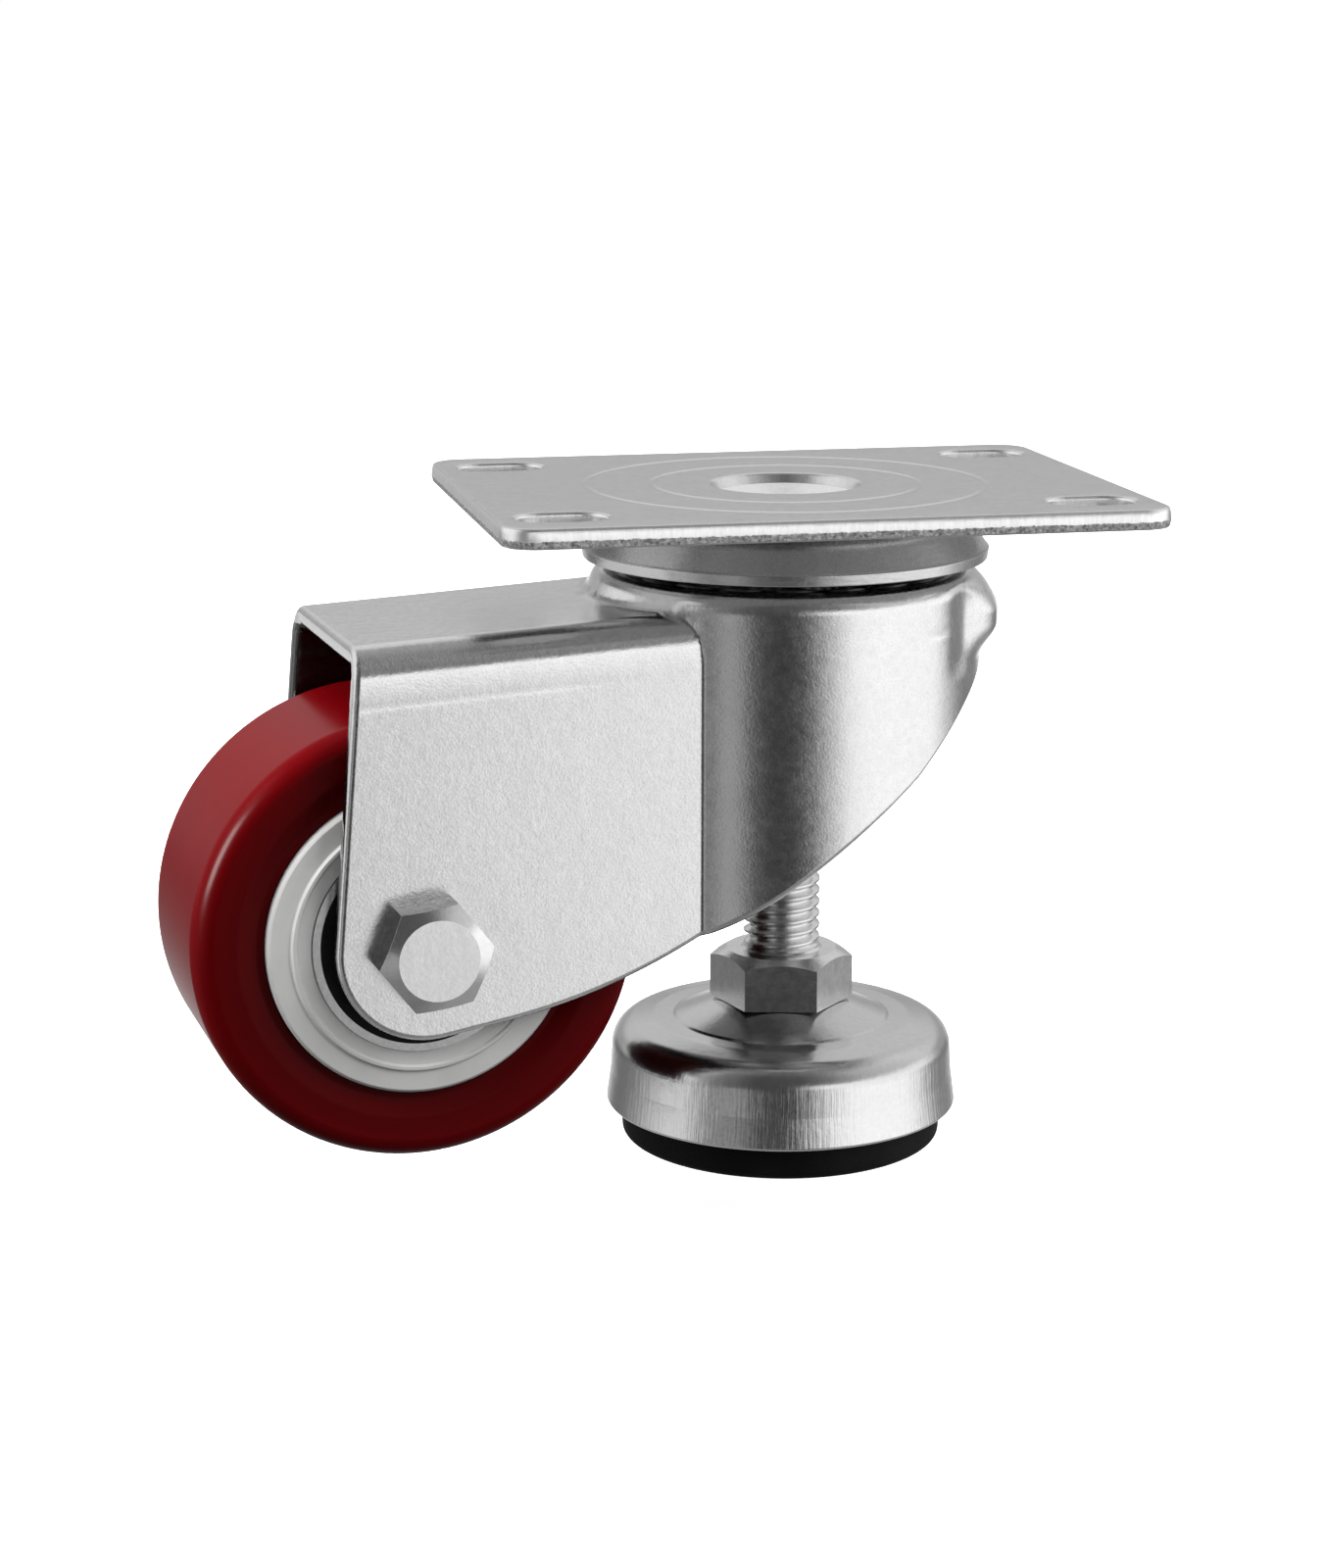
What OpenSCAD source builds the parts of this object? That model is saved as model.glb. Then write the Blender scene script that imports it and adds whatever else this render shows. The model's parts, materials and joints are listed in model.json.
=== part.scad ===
// Swivel plate caster with a levelling foot on its swivel axis.
// The origin is the centre of the plate's top face, on the swivel axis. +Z is up, and the plate's
// long side lies along X. The wheel trails towards -X. Millimetres.

/* [Top plate] */
// Length of the top plate
plate_l = 66.5; // [60:0.5:76]
// Width of the top plate
plate_w = 51.5; // [48:0.5:60]
// Sheet thickness of the top plate
plate_t = 2; // [1.8:0.1:2.5]
// Corner radius of the top plate
plate_corner_r = 3.5; // [1:0.5:6]
// Distance between slot centres along the plate
slot_pitch_x = 53; // [50:0.5:54]
// Distance between slot centres across the plate
slot_pitch_y = 36.5; // [34:0.5:38]
// Width of each slot
slot_w = 6; // [4:0.5:6.5]
// End-to-end length of each slot
slot_l = 9; // [7:0.5:10]

/* [Swivel] */
// Angle of the fork about the swivel axis at rest
swivel_at_rest = 6; // [0:1:30]
// Outer radius of the upper race cup at its lower rim
cup_r = 20.9; // [20:0.1:22]
// Diameter of the upper swivel balls
upper_ball_d = 4.76; // [4.7:0.01:4.8]
// Pitch radius of the upper swivel balls
upper_ball_pitch_r = 15; // [14.5:0.1:15.5]
// Number of upper swivel balls
upper_ball_n = 18; // [12:1:18]
// Diameter of the lower swivel balls
lower_ball_d = 3.97; // [3.9:0.01:4]
// Pitch radius of the lower swivel balls
lower_ball_pitch_r = 10.5; // [10.3:0.1:11]
// Number of lower swivel balls
lower_ball_n = 14; // [10:1:14]

/* [Fork] */
// Outside width of the fork's two cheeks
fork_w = 29.5; // [29.2:0.1:31]
// Sheet thickness of the fork
fork_t = 2; // [1.6:0.1:2.2]
// Outer radius of the crown wall about the swivel axis
crown_r = 20.2; // [19.8:0.1:21]
// Distance from the swivel axis back to the axle
trail = 41.7; // [41:0.1:44]
// Depth of the axle below the plate's top face
axle_depth = 42; // [41:0.5:43]
// Radius of the cheek's rounded end about the axle
cheek_end_r = 9.2; // [8.5:0.1:9.8]

/* [Wheel] */
// Diameter of the wheel over its tread
wheel_d = 45; // [42:0.5:46]
// Width of the tyre
tyre_w = 22; // [20:0.5:22.5]
// Radius of the tyre's shoulders
tyre_shoulder_r = 3; // [1:0.5:4]
// Outer radius of the wheel hub
hub_r = 15.4; // [14.5:0.1:16]

/* [Levelling foot] */
// Nominal diameter of the stem's thread
stem_d = 8; // [7.8:0.1:8]
// Width across the flats of the stem's hexagon
stem_hex_af = 13; // [12:0.5:14]
// Height of the stem's hexagon
stem_hex_h = 5.4; // [4:0.2:6.5]
// Radius of the steel cap at its lower rim
cap_r = 18.5; // [17.8:0.1:18.8]
// Sheet thickness of the steel cap
cap_t = 1.5; // [1.2:0.1:1.6]
// Radius of the rubber pad
pad_r = 16.9; // [16:0.1:16.9]
// Height at rest of the pad's underside below the plate's top face
foot_depth = 69.25; // [66:0.25:72]

/* [Hidden] */
$fn = 96;
eps = 0.01;                 // overlap used to cut cleanly through a face
slip = 0.05;                // radial clearance of a running fit
race_gap = 0.03;            // clearance round a ball in its race

// Swivel heights, from the plate downwards
cup_t = 1.5;
race_depth = 0.35;
upper_ball_r = upper_ball_d / 2;
lower_ball_r = lower_ball_d / 2;
cup_under_z = -plate_t - cup_t;
upper_ball_z = cup_under_z + race_depth - race_gap - upper_ball_r;
crown_top_z = upper_ball_z - upper_ball_r - race_gap + race_depth;
crown_under_z = crown_top_z - fork_t;
lower_ball_z = crown_under_z + race_depth - race_gap - lower_ball_r;
lower_washer_top_z = lower_ball_z - lower_ball_r - race_gap + race_depth;
lower_washer_t = 2;
lower_washer_r = lower_ball_pitch_r + lower_ball_r + 1.2;
kingpin_flange_top_z = lower_washer_top_z - lower_washer_t;
cup_rim_z = crown_top_z + 0.35;

// Kingpin: a hollow rivet, threaded inside for the stem
kingpin_r = 6.3;
kingpin_head_r = 7;
kingpin_head_z = -0.5;
kingpin_flange_r = 8.4;
kingpin_flange_h = 1.6;
kingpin_end_z = -28;
crown_hole_r = kingpin_r + 1.2;
dimple_r = 7.4;
dimple_h = 1.2;

// Fork: a U-shaped channel whose deck climbs to a round crown
fork_half = fork_w / 2;
fork_inner_half = fork_half - fork_t;
bend_r = 3.2;               // outer radius of the bends between deck and cheeks
deck_front_x = -48.4;
deck_front_z = -12.1;
deck_slope = 2.7;           // climb of the deck in degrees
cheek_lean = 2.5;           // how far the cheek's front edge runs forward from deck to axle
crown_shoulder_r = 2;
crown_shoulder_z = crown_top_z - 0.4;
lower_slope = 9.5;          // slope in degrees of the cheek's lower edge beside the axle
lower_arc_x = -34;          // where that edge starts to sweep up
lower_arc_r = 64;
lower_arc_slope = 37;       // slope in degrees where the sweep meets the crown's lower edge
crown_run_x = 8;            // end of the crown's straight lower edge
crown_tail_x = 18.2;
crown_tail_z = -18.3;
bead_r = 21.9;              // rolled bead at the crown's free end
bead_half_angle = 62;

// Axle and bearings
axle_x = -trail;
axle_z = -axle_depth;
bolt_r = 3;
bolt_hole_r = 3.1;
bolt_head_af = 10;
bolt_head_h = 4;
bolt_head_turn = -7.5;
nut_h = 6;
nut_insert_h = 1.6;
bolt_tail = 2;              // thread that stands out of the nut
bearing_inner_r = 4;
bearing_outer_r = 11;
bearing_w = 7;
bearing_face_y = 11.9;
bearing_y = bearing_face_y - bearing_w / 2;
bearing_ball_r = 1.985;
bearing_pitch_r = 7.55;
bearing_ball_n = 7;
inner_ring_r = 6.1;
outer_ring_r = 9;
seal_t = 0.4;
hub_half = 12;
sleeve_wall = 0.9;

// Foot
stem_r = stem_d / 2;
stem_top_z = -11;
cap_top_z = -54.5;          // raised centre of the cap, under the hexagon
cap_disc_z = -56.4;         // ring where the raised centre meets the cap's top
cap_disc_r = 11.4;
cap_rim_z = -65.6;
cap_shoulder_r = 3;
cap_edge_r = cap_r - 0.5;
hex_bottom_z = cap_top_z + slip;
hex_turn = -14;
rivet_r = 3.4;
rivet_head_h = 0.9;
foot_washer_r = 6;
foot_washer_t = 1.4;
pad_inner_top_z = -61.5;

STEEL = [0.76, 0.77, 0.78];
BRIGHT = [0.86, 0.86, 0.87];
RED = [0.5, 0.02, 0.06];
HUB_GREY = [0.8, 0.79, 0.76];
BLACK = [0.06, 0.06, 0.06];

// Points on an arc about [cx, cz], from one angle to another
function arc(cx, cz, r, from, to, steps) =
    [for (i = [0:steps]) let (a = from + (to - from) * i / steps) [cx + r * cos(a), cz + r * sin(a)]];

// Places a piece drawn square with the plate onto the fork's resting angle
module on_fork() {
    rotate([0, 0, swivel_at_rest]) children();
}

// Places a piece drawn about the Z axis onto the axle, with +Z turned to the far side, +Y
module on_axle() {
    on_fork() translate([axle_x, 0, axle_z]) rotate([-90, 0, 0]) children();
}

// A hexagonal bar with its corners rounded off at the outer end, as on a bolt head
module hex_bar(across_flats, h, chamfer_top, chamfer_bottom) {
    corner_r = across_flats / sqrt(3);
    intersection() {
        cylinder(r = corner_r, h = h, $fn = 6);
        rotate_extrude() polygon([
            [0, 0],
            [chamfer_bottom ? across_flats / 2 : corner_r + 1, 0],
            [corner_r + 0.05, chamfer_bottom ? 0.6 : 0],
            [corner_r + 0.05, chamfer_top ? h - 0.6 : h],
            [chamfer_top ? across_flats / 2 : corner_r + 0.05, h],
            [0, h]
        ]);
    }
}

module ring(r_outer, r_inner, h) {
    difference() {
        cylinder(r = r_outer, h = h);
        translate([0, 0, -eps]) cylinder(r = r_inner, h = h + 2 * eps);
    }
}

// A ring of ball-race shape cut away: the track that a circle of balls rolls in
module race_track(pitch_r, ball_r) {
    rotate_extrude() translate([pitch_r, 0]) circle(r = ball_r + race_gap);
}

module ball_circle(count, pitch_r, ball_r) {
    for (i = [0:count - 1])
        rotate([0, 0, i * 360 / count]) translate([pitch_r, 0, 0]) sphere(r = ball_r);
}

// ---- Fixed to the plate ----

module slot_cut(x, y) {
    half_run = (slot_l - slot_w) / 2;
    translate([x, y, -plate_t - eps]) linear_extrude(plate_t + 2 * eps) union() {
        translate([-half_run, 0]) circle(d = slot_w);
        translate([half_run, 0]) circle(d = slot_w);
        square([2 * half_run, slot_w], center = true);
    }
}

// Faint ring that pressing leaves in the plate's top face
module ring_mark(r) {
    rotate_extrude() translate([r, 0.35]) circle(r = 0.5);
}

module mounting_plate() {
    color(STEEL) difference() {
        translate([0, 0, -plate_t]) linear_extrude(plate_t) union() {
            square([plate_l - 2 * plate_corner_r, plate_w], center = true);
            square([plate_l, plate_w - 2 * plate_corner_r], center = true);
            for (sx = [-1, 1], sy = [-1, 1])
                translate([sx * (plate_l / 2 - plate_corner_r), sy * (plate_w / 2 - plate_corner_r)])
                    circle(r = plate_corner_r);
        }
        for (sx = [-1, 1], sy = [-1, 1]) slot_cut(sx * slot_pitch_x / 2, sy * slot_pitch_y / 2);
        ring_mark(13.7);
        ring_mark(20.4);
        rotate_extrude() polygon([
            [0, eps], [dimple_r, eps], [dimple_r - 0.2, -0.2], [kingpin_r + eps, -dimple_h],
            [kingpin_r + eps, -plate_t - eps], [0, -plate_t - eps]
        ]);
    }
}

module upper_race_cup() {
    wall_in = 1.1;
    color(STEEL) difference() {
        rotate_extrude() polygon(concat(
            [[kingpin_r + eps, -plate_t], [16.6, -plate_t]],
            arc(16.6, -plate_t - 3.2, 3.2, 90, 20, 7),
            [[cup_r, cup_rim_z + 0.7], [cup_r, cup_rim_z], [cup_r - wall_in, cup_rim_z]],
            arc(16.6, -plate_t - 3.4, 2.1, 15, 90, 6),
            [[kingpin_r + eps, cup_under_z]]
        ));
        translate([0, 0, upper_ball_z]) race_track(upper_ball_pitch_r, upper_ball_r);
    }
}

module kingpin() {
    flange_low_z = kingpin_flange_top_z - kingpin_flange_h;
    bore_r = stem_r + slip;
    color(BRIGHT) rotate_extrude() polygon([
        [bore_r + 0.6, kingpin_head_z], [kingpin_head_r - 0.6, kingpin_head_z],
        [kingpin_head_r - 0.05, kingpin_head_z - 0.15],
        [kingpin_r, -dimple_h - 0.05], [kingpin_r, kingpin_flange_top_z],
        [kingpin_flange_r, kingpin_flange_top_z], [kingpin_flange_r, flange_low_z],
        [kingpin_r, flange_low_z], [kingpin_r, kingpin_end_z],
        [bore_r, kingpin_end_z], [bore_r, kingpin_head_z - 0.6]
    ]);
}

module lower_race_washer() {
    color(STEEL) difference() {
        translate([0, 0, kingpin_flange_top_z])
            ring(lower_washer_r, kingpin_r + eps, lower_washer_t);
        translate([0, 0, lower_ball_z]) race_track(lower_ball_pitch_r, lower_ball_r);
    }
}

module upper_race_balls() {
    color(BRIGHT) translate([0, 0, upper_ball_z])
        ball_circle(upper_ball_n, upper_ball_pitch_r, upper_ball_r);
}

module lower_race_balls() {
    color(BRIGHT) translate([0, 0, lower_ball_z])
        ball_circle(lower_ball_n, lower_ball_pitch_r, lower_ball_r);
}

// ---- Fork ----

// Everything above the fork's lower edge and behind its front edge, in side view as X and Z
module fork_side() {
    run_start = [axle_x + cheek_end_r * sin(lower_slope), axle_z - cheek_end_r * cos(lower_slope)];
    arc_start_z = run_start[1] + (lower_arc_x - run_start[0]) * tan(lower_slope);
    centre_x = lower_arc_x - lower_arc_r * sin(lower_slope);
    centre_z = arc_start_z + lower_arc_r * cos(lower_slope);
    arc_end = [centre_x + lower_arc_r * sin(lower_arc_slope), centre_z - lower_arc_r * cos(lower_arc_slope)];
    union() {
        polygon(concat(
            [[deck_front_x, 0], [deck_front_x, deck_front_z],
             [deck_front_x - cheek_lean, axle_z], [axle_x, axle_z], run_start],
            arc(centre_x, centre_z, lower_arc_r, lower_slope - 90, lower_arc_slope - 90, 10),
            [[crown_run_x, arc_end[1] + (crown_run_x - arc_end[0]) * tan(lower_arc_slope)],
             [crown_tail_x - 4, crown_tail_z - 3.4], [crown_tail_x, crown_tail_z],
             [bead_r, crown_tail_z + 2], [bead_r, 0]]
        ));
        translate([axle_x, axle_z]) circle(r = cheek_end_r);
    }
}

module side_extrude(depth) {
    translate([0, depth / 2, 0]) rotate([90, 0, 0]) linear_extrude(depth) children();
}

// Solid channel under the climbing deck, its top and sides moved in by inset
module channel(inset) {
    half = fork_half - inset;
    r = bend_r - inset;
    depth = 60;
    translate([deck_front_x, 0, deck_front_z]) rotate([0, -deck_slope, 0])
        translate([-12, 0, -inset]) rotate([90, 0, 90]) linear_extrude(60) union() {
            translate([-half, -depth]) square([2 * half, depth - r]);
            translate([-half + r, -r - eps]) square([2 * (half - r), r + eps]);
            for (side = [-1, 1]) translate([side * (half - r), -r]) circle(r = r);
        }
}

// Solid round crown about the swivel axis, its top and side moved in by inset
module crown(inset) {
    r = crown_r - inset;
    shoulder = crown_shoulder_r - min(inset, crown_shoulder_r - 0.4);
    rotate_extrude() polygon(concat(
        [[0, -60], [0, crown_top_z - inset], [r - shoulder - 0.1, crown_top_z - inset]],
        arc(r - shoulder, crown_shoulder_z - inset - shoulder, shoulder, 80, 0, 6),
        [[r, -60]]
    ));
}

// Bead rolled round the crown's free end
module crown_bead() {
    rotate([0, 0, -bead_half_angle]) rotate_extrude(angle = 2 * bead_half_angle) polygon([
        [crown_r - 1, crown_shoulder_z - 1], [crown_r - 0.2, crown_shoulder_z - 1],
        [bead_r, crown_shoulder_z - 2.8], [bead_r, crown_tail_z + 3],
        [bead_r - 0.9, crown_tail_z + 1.5], [crown_r - 1, crown_tail_z + 0.6]
    ]);
}

module fork() {
    color(STEEL) on_fork() difference() {
        union() {
            intersection() {
                side_extrude(2 * bead_r) fork_side();
                union() {
                    channel(0);
                    crown(0);
                }
            }
            crown_bead();
        }
        channel(fork_t);
        crown(fork_t);
        translate([0, 0, crown_under_z - 1]) cylinder(r = crown_hole_r, h = fork_t + 2);
        translate([0, 0, upper_ball_z]) race_track(upper_ball_pitch_r, upper_ball_r);
        translate([0, 0, lower_ball_z]) race_track(lower_ball_pitch_r, lower_ball_r);
        translate([axle_x, fork_half + 1, axle_z]) rotate([90, 0, 0])
            cylinder(r = bolt_hole_r, h = fork_w + 2);
    }
}

// ---- Axle, on the fork ----

module axle_bolt() {
    shank_end = fork_half + nut_h + bolt_tail;
    color(BRIGHT) on_axle() rotate([0, 0, bolt_head_turn]) union() {
        translate([0, 0, -fork_half]) rotate([180, 0, 0]) hex_bar(bolt_head_af, bolt_head_h, true, false);
        translate([0, 0, -fork_half]) cylinder(r = bolt_r, h = fork_half + shank_end - 0.6);
        translate([0, 0, shank_end - 0.6]) cylinder(r1 = bolt_r, r2 = bolt_r - 0.6, h = 0.6);
    }
}

module axle_nut() {
    color(STEEL) on_axle() translate([0, 0, fork_half]) difference() {
        union() {
            hex_bar(bolt_head_af, nut_h - nut_insert_h, true, true);
            cylinder(r = bolt_head_af / 2 - 0.4, h = nut_h);
        }
        translate([0, 0, -eps]) cylinder(r = bolt_r + slip, h = nut_h + 2 * eps);
        translate([0, 0, nut_h - nut_insert_h]) cylinder(r = bolt_r + 1.05, h = nut_insert_h - 0.3);
    }
}

module nut_insert() {
    color("royalblue") on_axle() translate([0, 0, fork_half + nut_h - nut_insert_h + slip])
        ring(bolt_r + 1, bolt_r + slip, nut_insert_h - 0.3 - 2 * slip);
}

module axle_sleeve() {
    color(STEEL) on_axle() translate([0, 0, -fork_inner_half + slip])
        ring(bearing_inner_r - 0.02, bearing_inner_r - sleeve_wall, 2 * (fork_inner_half - slip));
}

module axle_spacers() {
    spacer_t = fork_inner_half - bearing_face_y - 2 * slip;
    color(BRIGHT) on_axle() for (side = [-1, 1])
        translate([0, 0, side * (bearing_face_y + slip + spacer_t / 2) - spacer_t / 2])
            ring(5.6, bearing_inner_r, spacer_t);
}

module bearing_spacer() {
    half = bearing_face_y - bearing_w - slip;
    color(STEEL) on_axle() translate([0, 0, -half]) ring(5.4, bearing_inner_r, 2 * half);
}

// Both bearings: children are drawn about one bearing's middle
module both_bearings() {
    on_axle() for (side = [-1, 1]) translate([0, 0, side * bearing_y]) children();
}

module bearing_inner_rings() {
    color(BRIGHT) both_bearings() difference() {
        translate([0, 0, -bearing_w / 2]) ring(inner_ring_r, bearing_inner_r, bearing_w);
        race_track(bearing_pitch_r, bearing_ball_r);
    }
}

module bearing_outer_rings() {
    color(BRIGHT) both_bearings() difference() {
        translate([0, 0, -bearing_w / 2]) ring(bearing_outer_r, outer_ring_r, bearing_w);
        race_track(bearing_pitch_r, bearing_ball_r);
    }
}

module bearing_balls() {
    color(BRIGHT) both_bearings() ball_circle(bearing_ball_n, bearing_pitch_r, bearing_ball_r);
}

module bearing_cages() {
    cage_h = 4.6;
    color(HUB_GREY) both_bearings() difference() {
        translate([0, 0, -cage_h / 2]) ring(bearing_pitch_r + 0.6, bearing_pitch_r - 0.6, cage_h);
        for (i = [0:bearing_ball_n - 1])
            rotate([0, 0, i * 360 / bearing_ball_n]) translate([bearing_pitch_r, 0, 0])
                sphere(r = bearing_ball_r + race_gap);
    }
}

// Black rubber shields in both mouths of each bearing, held by the outer rings
module bearing_seals() {
    seal_face = bearing_w / 2 - 0.3;
    color(BLACK) both_bearings() for (side = [-1, 1])
        translate([0, 0, side * (seal_face - seal_t / 2) - seal_t / 2])
            ring(outer_ring_r - eps, inner_ring_r + slip, seal_t);
}

// ---- Wheel ----

// One moulding: rim, web with a stepped face, and bearing seats either side of a middle shoulder
module wheel_hub() {
    seat_r = bearing_outer_r + eps;
    shoulder_r = 9.4;
    shoulder_half = bearing_face_y - bearing_w - eps;
    ridge_r = 12.8;
    color(HUB_GREY) on_axle() rotate_extrude() polygon([
        [shoulder_r, -shoulder_half], [seat_r, -shoulder_half], [seat_r, -hub_half + 0.6],
        [ridge_r - 0.8, -hub_half + 0.6], [ridge_r - 0.3, -hub_half - 0.05],
        [ridge_r + 0.3, -hub_half - 0.05], [ridge_r + 0.8, -hub_half + 0.5],
        [hub_r - 0.3, -hub_half + 0.7], [hub_r, -hub_half + 1],
        [hub_r, hub_half - 1], [hub_r - 0.3, hub_half - 0.7],
        [ridge_r + 0.8, hub_half - 0.5], [ridge_r + 0.3, hub_half + 0.05],
        [ridge_r - 0.3, hub_half + 0.05], [ridge_r - 0.8, hub_half - 0.6],
        [seat_r, hub_half - 0.6], [seat_r, shoulder_half], [shoulder_r, shoulder_half]
    ]);
}

module tyre() {
    half = tyre_w / 2;
    tread_r = wheel_d / 2;
    s = tyre_shoulder_r;
    color(RED) on_axle() rotate_extrude() union() {
        translate([hub_r + eps, -half + 0.4]) square([tread_r - s - hub_r, tyre_w - 0.8]);
        translate([tread_r - s - 2, -half]) square([2, tyre_w]);
        translate([hub_r + eps, -half + s]) square([tread_r - hub_r - eps, tyre_w - 2 * s]);
        for (side = [-1, 1]) translate([tread_r - s, side * (half - s)]) circle(r = s);
    }
}

// ---- Levelling foot ----

module levelling_stem() {
    rivet_low_z = cap_top_z - cap_t - foot_washer_t - 2 * slip;
    color(BRIGHT) union() {
        translate([0, 0, hex_bottom_z]) rotate([0, 0, hex_turn])
            hex_bar(stem_hex_af, stem_hex_h, true, false);
        translate([0, 0, hex_bottom_z + 1])
            cylinder(r = stem_r, h = stem_top_z - hex_bottom_z - 1 - 0.8);
        translate([0, 0, stem_top_z - 0.8]) cylinder(r1 = stem_r, r2 = stem_r - 0.8, h = 0.8);
        translate([0, 0, rivet_low_z]) cylinder(r = rivet_r, h = hex_bottom_z - rivet_low_z + 1);
        translate([0, 0, rivet_low_z - rivet_head_h]) cylinder(r = rivet_r + 1.2, h = rivet_head_h);
    }
}

// Outline of the pressed cap's outer face, moved in by the sheet's thickness for its inside
function cap_outline(inset) = concat(
    [[foot_washer_r + 0.4, cap_top_z - inset], [cap_disc_r, cap_disc_z - inset],
     [cap_edge_r - cap_shoulder_r, cap_disc_z - 0.5 - inset]],
    arc(cap_edge_r - cap_shoulder_r, cap_disc_z - 0.5 - cap_shoulder_r, cap_shoulder_r - inset, 80, 8, 6),
    [[cap_r - inset, cap_rim_z]]
);

module foot_cap() {
    hole_r = rivet_r + slip;
    inner = cap_outline(cap_t);
    color(STEEL) rotate_extrude() polygon(concat(
        [[hole_r, cap_top_z]],
        cap_outline(0),
        [for (i = [len(inner) - 1:-1:0]) inner[i]],
        [[hole_r, cap_top_z - cap_t]]
    ));
}

module foot_washer() {
    color(BRIGHT) translate([0, 0, cap_top_z - cap_t - foot_washer_t - slip])
        ring(foot_washer_r, rivet_r + slip, foot_washer_t);
}

module rubber_pad() {
    color(BLACK) rotate_extrude() polygon([
        [0, -foot_depth], [pad_r - 1, -foot_depth], [pad_r - 0.2, -foot_depth + 0.6],
        [pad_r, -foot_depth + 1.4], [pad_r, cap_rim_z + 0.6], [pad_r - 0.9, pad_inner_top_z],
        [0, pad_inner_top_z]
    ]);
}

mounting_plate();
upper_race_cup();
kingpin();
lower_race_washer();
upper_race_balls();
lower_race_balls();
fork();
axle_bolt();
axle_nut();
nut_insert();
axle_sleeve();
axle_spacers();
bearing_spacer();
bearing_inner_rings();
bearing_outer_rings();
bearing_balls();
bearing_cages();
bearing_seals();
wheel_hub();
tyre();
levelling_stem();
foot_cap();
foot_washer();
rubber_pad();
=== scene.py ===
"""Looks of a swivel plate caster with a levelling foot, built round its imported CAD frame.

Pieces are modelled in millimetres in the row frame and scaled to metres when they become objects.
"""

import json
import math
from functools import partial

import bmesh
import bpy
import numpy as np
from mathutils import Matrix, Vector
from mathutils.geometry import delaunay_2d_cdt


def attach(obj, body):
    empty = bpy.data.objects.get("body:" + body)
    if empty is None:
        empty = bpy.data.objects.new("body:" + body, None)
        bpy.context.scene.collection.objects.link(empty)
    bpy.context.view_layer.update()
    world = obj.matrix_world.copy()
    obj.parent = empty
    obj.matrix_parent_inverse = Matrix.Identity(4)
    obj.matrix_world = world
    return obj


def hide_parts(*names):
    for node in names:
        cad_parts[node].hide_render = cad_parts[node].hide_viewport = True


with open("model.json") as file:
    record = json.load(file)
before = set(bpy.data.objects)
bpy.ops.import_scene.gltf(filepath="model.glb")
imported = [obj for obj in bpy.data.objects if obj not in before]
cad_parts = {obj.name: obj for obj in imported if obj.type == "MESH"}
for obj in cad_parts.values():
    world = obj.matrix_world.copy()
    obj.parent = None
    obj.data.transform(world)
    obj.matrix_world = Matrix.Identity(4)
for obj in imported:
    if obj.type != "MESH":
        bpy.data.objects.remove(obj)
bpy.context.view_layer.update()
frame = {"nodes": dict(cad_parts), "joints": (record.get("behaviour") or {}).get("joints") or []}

MM = 0.001
TAU = 2 * math.pi


# ---- Sizes and places read from the frame ----

def cad_points(node, placed=Matrix.Identity(4)):
    """Vertices of a CAD node, in mm, along a placement's own axes."""
    back = placed.inverted()
    return [back @ (v.co / MM) for v in frame["nodes"][node].data.vertices]


def local_box(node, placed=Matrix.Identity(4)):
    """Lowest and highest corner of a CAD node, in mm, along a placement's own axes."""
    points = np.array(cad_points(node, placed))
    return Vector(points.min(0)), Vector(points.max(0))


def hexagon_turn(node, placed=Matrix.Identity(4)):
    """Turn, about the placement's Z, that brings a hexagon with flats at 0 degrees onto the CAD's."""
    corner = max(cad_points(node, placed), key=lambda p: math.hypot(p.x, p.y))
    return Matrix.Rotation(math.atan2(corner.y, corner.x) - TAU / 12, 4, "Z")


joints = {joint["name"]: joint for joint in frame["joints"]}
axle_point = Vector(joints["wheel_spin"]["pos_m"]) / MM
axle_line = Vector(joints["wheel_spin"]["axis"])
swivel_angle = math.atan2(-axle_line.x, axle_line.y)
axle_x, axle_z = -math.hypot(axle_point.x, axle_point.y), axle_point.z

FRONT_X, FRONT_Z = -48.4, -12.1          # top front edge of the fork's deck
DECK_CLIMB = math.tan(math.radians(2.7))
ON_PLATE = Matrix.Identity(4)
ON_FORK = Matrix.Rotation(swivel_angle, 4, "Z")
ON_AXLE = ON_FORK @ Matrix.Translation((axle_x, 0, axle_z)) @ Matrix.Rotation(-TAU / 4, 4, "X")

plate_low, plate_high = local_box("mounting_plate")
cup_low, cup_high = local_box("upper_race_cup")
fork_high = local_box("fork", ON_FORK)[1]
stem_low, stem_high = local_box("levelling_stem")
cap_low, cap_high = local_box("foot_cap")
pad_low, pad_high = local_box("rubber_pad")
tyre_high = local_box("tyre", ON_AXLE)[1]
hub_high = local_box("wheel_hub", ON_AXLE)[1]
seal_high = local_box("bearing_seals", ON_AXLE)[1]
bolt_low, bolt_high = local_box("axle_bolt", ON_AXLE)
nut_low, nut_high = local_box("axle_nut", ON_AXLE)
kingpin_low, kingpin_high = local_box("kingpin")


# ---- Mesh helpers ----

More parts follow.
